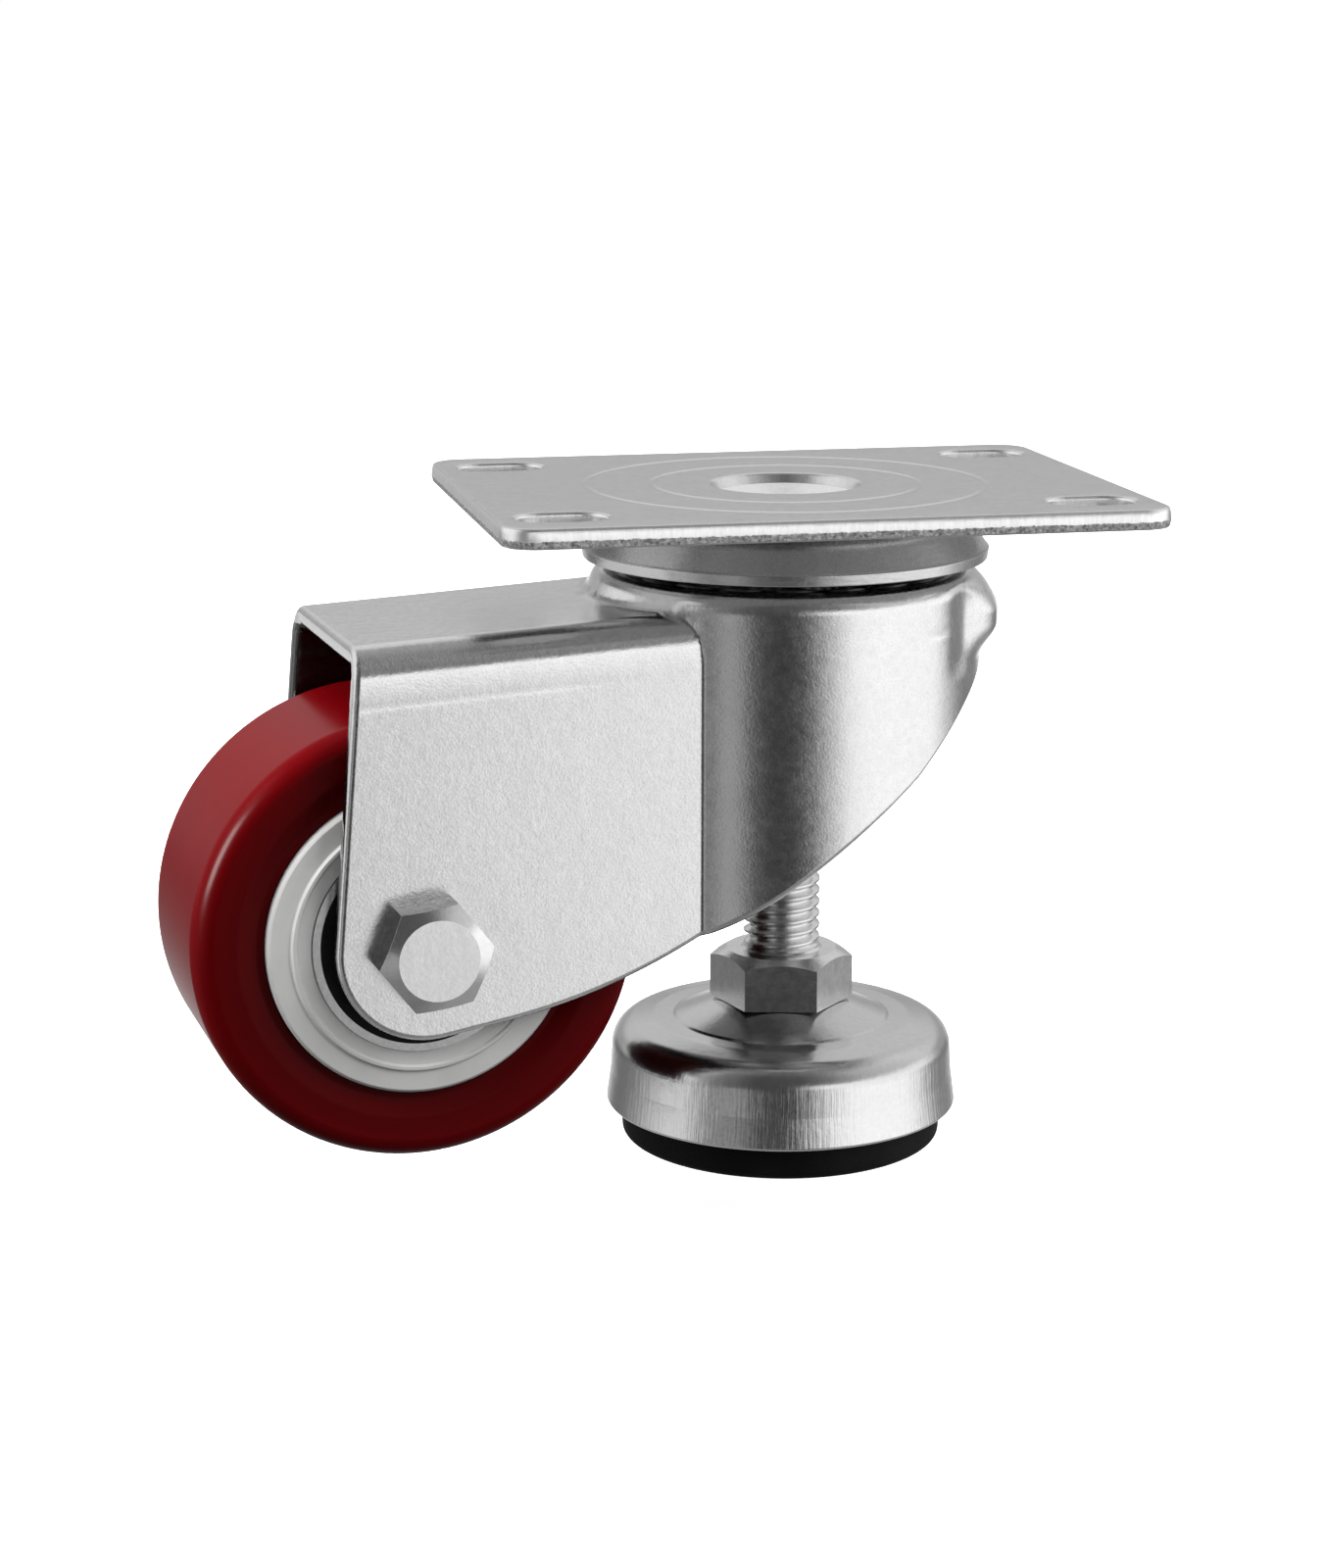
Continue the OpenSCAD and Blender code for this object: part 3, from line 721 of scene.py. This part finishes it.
def lower_edge(x):
    """Height of the fork's lower edge in side view, behind the rounded cheek end."""
    start_x = axle_x + CHEEK_END_R * math.sin(LOWER_SLOPE)
    start_z = axle_z - CHEEK_END_R * math.cos(LOWER_SLOPE)
    arc_z = start_z + (LOWER_ARC_X - start_x) * math.tan(LOWER_SLOPE)
    cx = LOWER_ARC_X - LOWER_ARC_R * math.sin(LOWER_SLOPE)
    cz = arc_z + LOWER_ARC_R * math.cos(LOWER_SLOPE)
    end_x = cx + LOWER_ARC_R * math.sin(LOWER_ARC_SLOPE)
    end_z = cz - LOWER_ARC_R * math.cos(LOWER_ARC_SLOPE)
    if x < LOWER_ARC_X:
        return start_z + (x - start_x) * math.tan(LOWER_SLOPE)
    if x < end_x:
        return cz - math.sqrt(LOWER_ARC_R ** 2 - (x - cx) ** 2)
    run_end_z = end_z + (TAIL_X - end_x) * math.tan(LOWER_ARC_SLOPE)
    xs, zs = zip((end_x, end_z), (TAIL_X, run_end_z), *TAIL)
    return float(np.interp(x, xs, zs))


def smooth_step(value, low, high):
    t = np.clip((value - low) / (high - low), 0, 1)
    return t * t * (3 - 2 * t)


def bead_bulge(x, y, z):
    """How far the crown's wall is rolled out at its free end, with the valley that bounds the roll."""
    angle = np.degrees(np.abs(np.arctan2(y, x)))
    roll = (1 - smooth_step(angle, *BEAD_ANGLES)) * smooth_step(z, *BEAD_TOP) * smooth_step(z, *BEAD_FOOT)
    valley = np.exp(-((angle - VALLEY_ANGLE) / VALLEY_SPREAD) ** 2)
    valley = valley * smooth_step(z, *VALLEY_TOP) * smooth_step(z, *VALLEY_FOOT)
    crease = np.exp(-((z - CREASE_Z) / CREASE_SPREAD) ** 2)
    crease = crease * smooth_step(angle, *CREASE_START) * (1 - smooth_step(angle, *CREASE_STOP))
    return BEAD * roll - VALLEY * valley - CREASE * crease


def rounded(a, b, radius):
    """Distance outside the corner of two faces, from the distances outside each, rounded to a radius."""
    a, b = a + radius, b + radius
    return np.hypot(np.maximum(a, 0), np.maximum(b, 0)) + np.minimum(np.maximum(a, b), 0) - radius


def fork_distance(points):
    """Signed distance-like field of the fork's outer skin: channel and crown, smoothly joined."""
    x, y, z = points.T
    top = deck_z(x)
    sink = np.clip((z - top + BAND_DROP) / (BAND_DROP - 1.5), 0, 1)
    fold = np.exp(-((z - top + BAND_DROP + 0.1) / 0.4) ** 2) * (1 - smooth_step(x, *FOLD_END))
    half = FORK_HALF - BAND_LEAN * sink ** 2 - FOLD_DEPTH * fold
    channel = rounded(np.abs(y) - half, z - top, BEND_R)
    channel = np.maximum(channel, x - CHANNEL_END)
    crown = rounded(np.hypot(x, y) - CROWN_R - bead_bulge(x, y, z), z - CROWN_TOP, CROWN_EDGE_R)
    blend = BLEND_LOW + BLEND_RISE * smooth_step(z - top, *BLEND_HEIGHTS)
    near = np.maximum(blend - np.abs(channel - crown), 0) / blend
    return np.minimum(channel, crown) - near * near * blend / 4


def cast(origins, directions, reach):
    """Where rays from inside the skin cross it, by bisection."""
    low, high = np.zeros(len(origins)), np.full(len(origins), float(reach))
    for _ in range(34):
        middle = (low + high) / 2
        outside = fork_distance(origins + directions * middle[:, None]) > 0
        high = np.where(outside, middle, high)
        low = np.where(outside, low, middle)
    return origins + directions * ((low + high) / 2)[:, None]


def fork_columns():
    """Columns of the skin's grid on the near side: wall point, inner point and deck end in plan."""
    columns = []
    front_count, dense_count, crease_count, crown_count = 34, 34, 15, 116
    front_xs = np.concatenate([[FRONT_X], np.linspace(FRONT_X + 1.0, DENSE_X, front_count)[:-1],
                               np.linspace(DENSE_X, PLAIN_X, dense_count)])
    cheek_xs = np.concatenate([front_xs, np.linspace(PLAIN_X, CREASE_X, crease_count)[1:]])
    end_xs = np.interp(cheek_xs, [FRONT_X, CREASE_X], [FRONT_X, -CROWN_HOLE_R])
    start = math.atan2(-FORK_HALF, CREASE_X)
    crown_inner = np.array([math.cos(start), math.sin(start)]) * (CROWN_R - SPINE)
    for x, end_x in zip(cheek_xs, end_xs):
        share = smooth_step(x, TURN_X, CREASE_X)
        plain = np.array([x, SPINE - FORK_HALF])
        inner = plain + (crown_inner - plain) * share
        columns.append(((x, -FORK_HALF), inner, (end_x, 0.0), share))
    walls_round = arc(0, 0, 1, start, -start, crown_count)
    ends_round = arc(0, 0, CROWN_HOLE_R, -math.pi, math.pi, crown_count)
    for wall, end in list(zip(walls_round, ends_round))[1:]:
        wall = np.array(wall)
        columns.append((wall * CROWN_R, wall * (CROWN_R - SPINE), end, 1.0))
    return columns, len(front_xs)


def crowded(pivot, end, last):
    """Shares of the way from pivot to end, closer together where the deck climbs onto the crown."""
    tries = np.linspace(0, last, 500)
    spots = pivot + (end - pivot) * tries[:, None]
    gap = np.hypot(spots[:, 0], spots[:, 1]) - CROWN_R + 0.6
    total = np.cumsum(1 + 7 * np.exp(-(gap / 1.1) ** 2))
    total = (total - total[0]) / (total[-1] - total[0])
    return list(np.interp(np.linspace(0, 1, DECK_ROWS), total, tries))


def fork_grid(columns, plain_count):
    """Points of the near half's skin, one run of points per column, from the lower edge to the deck's end."""
    grid = []
    for i, (wall, inner, end, share) in enumerate(columns):
        wall, inner, end = np.array(wall), np.array(inner), np.array(end)
        out = wall - inner
        out = out / np.linalg.norm(out)
        top = deck_z(wall[0]) * (1 - share) + max(CROWN_TOP, deck_z(wall[0])) * share
        low, fan_z = lower_edge(wall[0]), top - FAN_DEPTH
        band_z = max(deck_z(wall[0]) - GRID_DEPTH, low + 1.5)
        heights = []
        if i >= plain_count - 1:
            heights += [low] + list(np.linspace(low + HEM, band_z, WALL_ROWS)[:-1])
        heights += [band_z] + list(np.linspace(band_z + 0.5, fan_z, BAND_ROWS)[:-1])
        origins = [(*inner, z) for z in heights]
        directions = [(*out, 0)] * len(heights)
        pivot = wall - out * FAN_DEPTH
        for outward, upward in arc(0, 0, 1, 0, TAU / 4, FAN_ROWS):
            origins.append((*pivot, fan_z))
            directions.append((*out * outward, upward))
        last = 1 - 1.0 / np.linalg.norm(end - pivot)
        for share_in in crowded(pivot, end, last)[1:] + [1.0]:
            origins.append((*pivot + (end - pivot) * share_in, fan_z))
            directions.append((0, 0, 1))
        points = cast(np.array(origins), np.array(directions, float), 12)
        lean = FRONT_LEAN * (1 - smooth_step(wall[0], FRONT_X, FRONT_X + 10)) / (FRONT_Z - axle_z)
        points[:, 0] -= lean * (FRONT_Z - np.minimum(points[:, 2], FRONT_Z))
        grid.append(points)
    return grid


def cheek_loop(grid, plain_count):
    """Outline, in X and Z, of the flat part of a cheek, sharing its points with the grid."""
    base = [tuple(points[0][::2]) for points in grid[:plain_count - 1]]
    right = [tuple(p[::2]) for p in grid[plain_count - 1][WALL_ROWS::-1]]
    bottom_xs = np.linspace(PLAIN_X, axle_x + CHEEK_END_R * math.sin(LOWER_SLOPE), 28)[1:]
    bottom = [(x, lower_edge(x)) for x in bottom_xs]
    round_end = arc(axle_x, axle_z, CHEEK_END_R, LOWER_SLOPE - TAU / 4, -LOWER_SLOPE - TAU / 4, 21)[1:]
    front_zs = np.linspace(axle_z, base[0][1], 16)[1:-1]
    slope = FRONT_LEAN / (FRONT_Z - axle_z)
    front = [(FRONT_X - slope * (FRONT_Z - z), z) for z in front_zs]
    return base + right + bottom + round_end + front


def build_fork():
    columns, plain_count = fork_columns()
    grid = fork_grid(columns, plain_count)
    verts, faces = [], []

    def add_half(side):
        index = []
        for points in grid:
            index.append(range(len(verts), len(verts) + len(points)))
            verts.extend((p[0], p[1] * side, p[2]) for p in points)
        for a, b in zip(index, index[1:]):
            b = b[len(b) - len(a):]
            faces.extend((a[k], b[k], b[k + 1], a[k + 1])[::side] for k in range(len(a) - 1))
        hole = circle_loop(HOLE_R, 40, (axle_x, axle_z))
        points, triangles = filled([cheek_loop(grid, plain_count), hole])
        first = len(verts)
        verts.extend((x, -FORK_HALF * side, z) for x, z in points)
        faces.extend(tuple(first + i for i in t) for t in triangles)

    add_half(1)
    add_half(-1)
    piece = make_piece("fork_pressing", (verts, faces), ON_FORK, "fork", FORK_ZINC, ["fork"],
                       sharp=180)
    mesh = piece.data
    if max(mesh.polygons, key=lambda f: f.center.z).normal.z < 0:
        mesh.flip_normals()
    piece.modifiers.clear()
    assign(piece.modifiers.new("sheet", "SOLIDIFY"), thickness=SHEET * MM, offset=-1, use_even_offset=True,
           use_quality_normals=True)
    shells = 2 * len(mesh.polygons)
    thick = baked(piece)
    mark_rim(thick, shells)
    assign(piece.modifiers.new("edge_rounding", "BEVEL"), width=EDGE_ROUNDING * MM, segments=5,
           limit_method="WEIGHT", use_clamp_overlap=False, loop_slide=False)
    thick = baked(piece)
    thick.shade_smooth()
    set_skin_normals(thick)
    return piece


def baked(piece):
    """Replaces a piece's mesh by the result of its modifiers."""
    evaluated = piece.evaluated_get(bpy.context.evaluated_depsgraph_get())
    made = bpy.data.meshes.new_from_object(evaluated)
    piece.modifiers.clear()
    piece.data = made
    return made


def mark_rim(mesh, shells):
    """Weights for bevelling the edges between the sheet's two shells and its cut rim."""
    place = {edge.key: edge.index for edge in mesh.edges}
    on_rim, on_shell = set(), set()
    for face in mesh.polygons:
        kept = on_rim if face.index >= shells else on_shell
        kept.update(place[key] for key in face.edge_keys)
    weight = mesh.attributes.new("bevel_weight_edge", "FLOAT", "EDGE")
    for index in on_rim & on_shell:
        weight.data[index].value = 1.0


def read_all(items, name, width=3, kind=np.float32):
    """One attribute of every item of a mesh, as rows of an array."""
    values = np.empty(len(items) * width, kind)
    items.foreach_get(name, values)
    return values.reshape(-1, width)


def set_skin_normals(mesh):
    """Gives the fork's outer faces the exact normals of the skin they were cast on."""
    near = 0.03                        # mm
    normals = read_all(mesh.corner_normals, "vector")
    turn = np.array(ON_FORK.to_3x3())
    points = read_all(mesh.vertices, "co").astype(float) @ turn / MM
    distance = np.abs(fork_distance(points))
    gradient = np.stack([fork_distance(points + shift) - fork_distance(points - shift)
                         for shift in np.eye(3) * near], axis=1)
    gradient /= np.linalg.norm(gradient, axis=1)[:, None] + 1e-9
    gradient = gradient @ turn.T
    corner_vertex = read_all(mesh.loops, "vertex_index", 1, np.int32)[:, 0]
    sizes = read_all(mesh.polygons, "loop_total", 1, np.int32)[:, 0]
    face_of_corner = np.repeat(read_all(mesh.polygons, "normal"), sizes, axis=0)
    exact = gradient[corner_vertex]
    use = (distance[corner_vertex] < near) & ((exact * face_of_corner).sum(1) > 0.8)
    normals[use] = exact[use]
    mesh.normals_split_custom_set(normals.tolist())


# ---- Axle ----

def build_bolt():
    """M6 hexagon bolt: chamfered head on the near cheek, thread through the nut."""
    across, face_r, shank, thread_from = 10.0, 4.05, 3.0, 12.8
    head_low, under, tip = bolt_low.z, -FORK_HALF, bolt_high.z
    rows = [(0, head_low), (face_r, head_low), ("hex", head_low, -1), ("hex", under, 0), (shank, under),
            (shank, thread_from)]
    screw = thread(shank, 1.0, 0.55, thread_from, tip, 2.3)
    shape = joined(hex_turned(rows, across, face_r), screw)
    return make_piece("axle_hex_bolt", shape, ON_AXLE @ hexagon_turn("axle_bolt", ON_AXLE), "fork",
                      BRIGHT_ZINC, ["axle_bolt"], sharp=22, bevel=0.18, bevel_angle=24)


def build_nut():
    """Locknut: hexagon with a rounded collar that holds the nylon ring."""
    across, face_r, bore, collar_r, seat_r = 10.0, 4.4, 3.06, 4.45, 4.06
    low, high = nut_low.z, nut_high.z
    collar = high - 1.6
    dome = filleted([(collar_r, collar), (collar_r, high, 0.9), (3.7, high, 0.2), (3.7, high - 0.35),
                     (seat_r, high - 0.4), (seat_r, collar), (bore, collar - 0.05), (bore, low)],
                    closed=False)
    rows = [(bore, low), (face_r, low), ("hex", low, -1), ("hex", collar, 1)] + [tuple(p) for p in dome]
    placed = ON_AXLE @ hexagon_turn("axle_nut", ON_AXLE)
    return make_piece("axle_locknut", hex_turned(rows, across, face_r), placed, "fork",
                      BRIGHT_ZINC, ["axle_nut"], sharp=22, bevel=0.1, bevel_angle=24)


# ---- Wheel ----

def both_sides(side):
    """Corners of an outline that is the same on both sides of the wheel's middle."""
    return [(p[0], -p[1], *p[2:]) for p in side] + side[::-1]


def build_tyre():
    half, tread = tyre_high.z, tyre_high.x
    inner = hub_high.x + 0.01
    shoulder = 3.2
    side = [(inner, half - 0.45, 0.3), (inner + 0.9, half - 0.5, 0.6), (tread - shoulder - 1.2, half, 2.0),
            (tread, half, shoulder)]
    outline = both_sides(side)
    return make_piece("tyre_tread", turned(filleted(outline, degrees_per_step=6), 160), ON_AXLE, "wheel",
                      RED, ["tyre"], sharp=60)


def build_hub():
    rim, half = hub_high.x, hub_high.z
    seat, ridge, shoulder_r = 11.01, 12.8, 9.4
    inner_half = 4.89
    side = [(shoulder_r, inner_half), (seat, inner_half), (seat, half - 0.35, 0.12),
            (ridge - 0.35, half - 0.25, 0.1), (ridge - 0.2, half, 0.1), (ridge + 0.15, half, 0.1),
            (ridge + 0.35, half - 0.4, 0.15), (rim - 0.3, half - 0.45, 0.2), (rim, half - 0.75, 0.15)]
    outline = both_sides(side)
    return make_piece("hub_moulding", turned(filleted(outline), 144), ON_AXLE, "wheel",
                      HUB_PLASTIC, ["wheel_hub"])


def build_seals():
    """Rubber shields with a rounded inner lip and a shallow groove, two to each bearing."""
    inner, outer, lip = 6.2, 8.99, 10.2
    face, thick = seal_high.z, 0.4
    bearing_far = face - 6.4
    half_outline = [(inner, 0.05, 0.1), (inner + 0.35, 0.16, 0.1), (inner + 0.7, 0.0, 0.1),
                    (outer - 0.5, 0.02, 0.2), (outer - 0.2, 0.38, 0.1), (lip, 0.4, 0.05), (lip, 0.32),
                    (outer, 0.31), (outer, -thick), (inner, -thick)]
    parts = []
    for sign in (-1, 1):
        outer_face = [(p[0], sign * (face + p[1]), *p[2:]) for p in half_outline]
        inner_face = [(min(p[0], outer), sign * (bearing_far - min(p[1], 0.12)), *p[2:])
                      for p in half_outline if p[0] < lip]
        parts += [turned(filleted(outer_face), 96), turned(filleted(inner_face), 96)]
    return make_piece("bearing_shields", joined(*parts), ON_AXLE, "wheel", SEAL_RUBBER,
                      ["bearing_seals"])


# ---- Levelling foot ----

def build_stem():
    """M8 stem with its spanner hexagon and the riveted end that holds the cap."""
    radius, pitch, depth = 4.0, 1.25, 0.62
    across, hex_h, face_r = 13.0, 5.4, 5.75
    neck, head = 3.4, 4.6
    low, top = stem_low.z, stem_high.z
    hex_low = cap_high.z + 0.05
    hex_top = hex_low + hex_h
    rows = [(0, low), (head - 0.4, low), (head, low + 0.35), (head, low + 0.9), (neck, low + 0.9),
            (neck, hex_low), (face_r + 0.6, hex_low), ("hex", hex_low, 0), ("hex", hex_top, 1),
            (face_r, hex_top), (radius + 0.25, hex_top), (radius, hex_top + 0.2), (radius, hex_top + 0.5)]
    shape = joined(hex_turned(rows, across, face_r), thread(radius, pitch, depth, hex_top + 0.5, top, 3.3))
    return make_piece("threaded_stem", shape, hexagon_turn("levelling_stem"), "stem",
                      STEM_ZINC, ["levelling_stem"], sharp=22, bevel=0.14, bevel_angle=24)


def build_cap():
    """Pressed and drawn cap: raised centre, broad top, rolled shoulder and slightly flared skirt."""
    top, rim = cap_high.z, cap_low.z
    edge = cap_high.x
    wall = 1.5
    hole = 3.46
    outer = [(hole, top, 0.1), (6.5, top, 1.2), (11.1, top - 1.75, 0.2), (11.4, top - 1.95, 0.12),
             (13.5, top - 2.0, 2.0), (edge - 0.75, top - 2.75, 2.9), (edge - 0.45, rim + 3.4, 2.0),
             (edge, rim, 0.35)]
    inner = [(edge - 1.2, rim, 0.25), (edge - 1.9, top - 2.9 - wall, 1.6), (13.2, top - 2.1 - wall, 1.0),
             (11.0, top - 1.9 - wall, 0.4), (7.2, top - wall, 1.5), (hole, top - wall)]
    shape = turned(filleted(outer + inner, degrees_per_step=7), 160)
    return make_piece("cap_pressing", shape, ON_PLATE, "foot_base", CAP_ZINC, ["foot_cap"],
                      sharp=40)


def build_pad():
    """Rubber pad with a rounded foot and grip rings moulded in its underside."""
    low, top = pad_low.z, pad_high.z
    edge = pad_high.x
    ring_rs = [4.0 + 2.6 * k for k in range(4)]
    under = []
    for r in ring_rs:
        under += [(r - 0.5, low, 0.15), (r - 0.25, low + 0.45, 0.15), (r + 0.25, low + 0.45, 0.15),
                  (r + 0.5, low, 0.15)]
    outline = [(0, low)] + under + [(edge - 0.1, low, 0.9), (edge, cap_low.z + 0.8), (edge - 0.9, top, 0.3),
                                    (0, top)]
    shape = turned(filleted(outline, closed=False), 144, closed=False)
    return make_piece("pad_moulding", shape, ON_PLATE, "foot_base", PAD_RUBBER,
                      ["rubber_pad"], sharp=40)


# ---- CAD nodes that keep their shape ----

def finish_cad_nodes():
    finishes = {
        # the race balls take the dark steel: grease plus painted shade of the race gap
        "upper_race_balls": GREASE_AND_SHADE_STEEL, "lower_race_balls": GREASE_AND_SHADE_STEEL,
        "bearing_balls": BEARING_STEEL, "bearing_inner_rings": RING_STEEL,
        "bearing_outer_rings": RING_STEEL, "lower_race_washer": CUP_ZINC, "axle_sleeve": BRIGHT_ZINC,
        "axle_spacers": BRIGHT_ZINC, "bearing_spacer": BRIGHT_ZINC, "foot_washer": BRIGHT_ZINC,
        "nut_insert": BLUE_NYLON, "bearing_cages": CAGE_NYLON,
    }
    for name, finish in finishes.items():
        cad = frame["nodes"][name]
        for slot in cad.material_slots:
            slot.material = finish
        if not cad.material_slots:
            cad.data.materials.append(finish)


plate = build_plate()
build_cup()
build_kingpin()
fork = build_fork()
build_bolt()
nut = build_nut()
tyre = build_tyre()
build_hub()
build_seals()
build_stem()
build_cap()
build_pad()
finish_cad_nodes()


# ---- Stage, light and camera ----

CAMERA_AZIMUTH, CAMERA_ELEVATION = math.radians(-11.92), math.radians(13.05)
CAMERA_DISTANCE, CAMERA_RIGHT, CAMERA_UP = 343.56, -12.63, -30.76
LENS = 77.21

# Brightness of the studio by compass direction, in degrees to the right of the camera, in bands of height
# (sine of elevation at which a band gives way to the next).
FLOORWARD = [(-180, 0.5), (-120, 0.3), (0, 0.14), (120, 0.3), (180, 0.5)]
BELOW = [(-180, 0.85), (-164, 0.7), (-150, 0.13), (-126, 0.14), (-111, 0.24), (-98, 0.42), (-85, 0.62),
         (-66, 0.68), (-57, 0.3), (-46, 0.1), (-36, 0.34), (-27, 0.3), (-20, 0.08), (-6, 0.03), (9, 0.05),
         (17, 0.16), (24, 0.42), (31, 0.6), (37, 0.88), (54, 0.97), (97, 0.95), (108, 0.55), (121, 0.2),
         (150, 0.2), (164, 0.7), (180, 0.85)]
LEVEL = [(-180, 0.36), (-140, 0.36), (-120, 0.75), (-66, 0.8), (-52, 0.2), (-20, 0.06), (8, 0.05), (18, 0.6),
         (26, 1.0), (110, 1.0), (130, 0.36), (180, 0.36)]
RAISED = [(-180, 0.62), (-140, 0.62), (-120, 0.75), (-70, 0.75), (-48, 0.2), (-20, 0.06), (15, 0.08),
          (36, 0.2), (60, 0.5), (120, 0.75), (150, 0.62), (180, 0.62)]
OVERHEAD = [(-180, 0.3), (-60, 0.25), (0, 0.1), (60, 0.25), (180, 0.3)]
BANDS = ((FLOORWARD, None, None), (BELOW, -0.6, -0.34), (LEVEL, -0.12, 0.02), (RAISED, 0.18, 0.32),
         (OVERHEAD, 0.76, 0.92))
FLOOR_GLOW = 0.9
FOOT_TRAVEL_DOWN = 8.1


def camera_axes():
    a, e = CAMERA_AZIMUTH, CAMERA_ELEVATION
    back = Vector((math.sin(a) * math.cos(e), -math.cos(a) * math.cos(e), math.sin(e)))
    right = Vector((math.cos(a), math.sin(a), 0))
    return back, right, back.cross(right)


def set_camera():
    back, right, up = camera_axes()
    camera = new_object("camera", assign(bpy.data.cameras.new("camera"), lens=LENS, sensor_width=36))
    place = Matrix((right, up, back)).transposed().to_4x4()
    place.translation = (back * CAMERA_DISTANCE + right * CAMERA_RIGHT + up * CAMERA_UP) * MM
    camera.matrix_world = place
    bpy.context.scene.camera = camera


def set_floor():
    """White paper, set low enough that the foot stays above it when it is screwed right down."""
    half, low = 6.0, (pad_low.z - FOOT_TRAVEL_DOWN) * MM
    corners = [(-half, -half, low), (half, -half, low), (half, half, low), (-half, half, low)]
    mesh = bpy.data.meshes.new("floor")
    mesh.from_pydata(corners, [], [(0, 1, 2, 3)])
    finish = bpy.data.materials.new("floor_paper")
    finish.use_nodes = True
    tree = finish.node_tree
    tree.nodes.clear()
    paper = node(tree, "BsdfDiffuse", {"Color": (0.9, 0.9, 0.9, 1)})
    lit = node(tree, "Emission", {"Color": (1, 1, 1, 1), "Strength": FLOOR_GLOW})
    surface = node(tree, "AddShader", {0: paper.outputs[0], 1: lit.outputs[0]})
    node(tree, "OutputMaterial", {"Surface": surface.outputs[0]})
    mesh.materials.append(finish)
    assign(new_object("floor", mesh), visible_glossy=False, visible_diffuse=False)


def set_world():
    """Studio reflections by compass direction round the camera: bright panels left and right, a dark gap
    between them at the camera, and a grey room behind. The camera itself sees plain white, and the
    plastics and rubbers get a dim even sky."""
    world = bpy.data.worlds.new("studio")
    bpy.context.scene.world = world
    world.use_nodes = True
    tree = world.node_tree
    tree.nodes.clear()
    sine, cosine = math.sin(CAMERA_AZIMUTH), math.cos(CAMERA_AZIMUTH)
    direction = node(tree, "TexCoord").outputs["Generated"]
    towards = vectors("DOT_PRODUCT", direction, (sine, -cosine, 0), "Value")
    sideways = vectors("DOT_PRODUCT", direction, (cosine, sine, 0), "Value")
    height = xyz(direction)[2]
    compass = maths("ARCTAN2", sideways, towards)
    place = remap(compass, -math.pi, math.pi)
    room = None
    for panels, start, full in BANDS:
        ring = ramp(place, [(0.5 + deg / 360, grey) for deg, grey in panels])
        if room is None:
            room = ring
            continue
        share = remap(height, start, full)
        room = node(tree, "Mix", {0: share, 6: room, 7: ring}, data_type="RGBA").outputs[2]
    sky = ramp(remap(height, -1.0, 1.0), [(0.3, 0.08), (0.6, 0.4), (1.0, 0.8)])
    seen = node(tree, "Background", {"Color": (1, 1, 1, 1), "Strength": 1.0})
    studio = node(tree, "Background", {"Color": room, "Strength": 1.25})
    ambient = node(tree, "Background", {"Color": sky, "Strength": 0.8})
    path = node(tree, "LightPath")
    mirrored = node(tree, "MixShader", {0: path.outputs["Is Glossy Ray"], 1: ambient.outputs[0],
                                        2: studio.outputs[0]})
    choice = node(tree, "MixShader", {0: path.outputs["Is Camera Ray"], 1: mirrored.outputs[0],
                                      2: seen.outputs[0]})
    node(tree, "OutputWorld", {"Surface": choice.outputs[0]})


STUDIO_AIM = Vector((-0.012, 0, -0.035))


def panel(name, offset, width, height, power, receivers=()):
    """A soft panel aimed at the object. It lights without showing in the steel, unless it has
    receivers: then it shows only as a reflection, and only on them."""
    data = assign(bpy.data.lights.new(name, "AREA"), shape="RECTANGLE", size=width, size_y=height,
                  energy=power)
    lamp = assign(new_object(name, data), location=STUDIO_AIM + offset, rotation_mode="QUATERNION",
                  rotation_quaternion=offset.to_track_quat("Z", "Y"))
    if not receivers:
        lamp.visible_glossy = False
        return
    lamp.visible_diffuse = False
    only = bpy.data.collections.new(name + "_receivers")
    for piece in receivers:
        only.objects.link(piece)
    lamp.light_linking.receiver_collection = only


def set_lights():
    """Broad soft panels that light the plastics and the floor; the steel mirrors only the room."""
    back, right, up = camera_axes()
    panel("key", right * -0.75 + up * 0.5 + back * 0.3, 0.45, 0.45, 11)
    panel("fill", right * 0.6 + up * 0.35 + back * 0.35, 0.5, 0.5, 4)
    panel("top", Vector((0, 0.05, 0.75)), 0.7, 0.7, 4.5)
    tyre_side = back * 0.62 - right * 0.76 + up * 0.16
    panel("streak", tyre_side * 0.95, 0.34, 0.42, 30, [tyre])
    rear = -back * 0.88 - right * 0.3
    panel("rear_panel", rear * 0.9 + Vector((0, 0, -0.2)), 1.7, 0.7, 1.8, [fork, nut])
    panel("plate_panel", back * 0.9 + up * 0.05, 0.7, 0.5, 0.8, [plate])


set_camera()
set_floor()
set_world()
set_lights()
bpy.context.scene.view_settings.view_transform = "Standard"
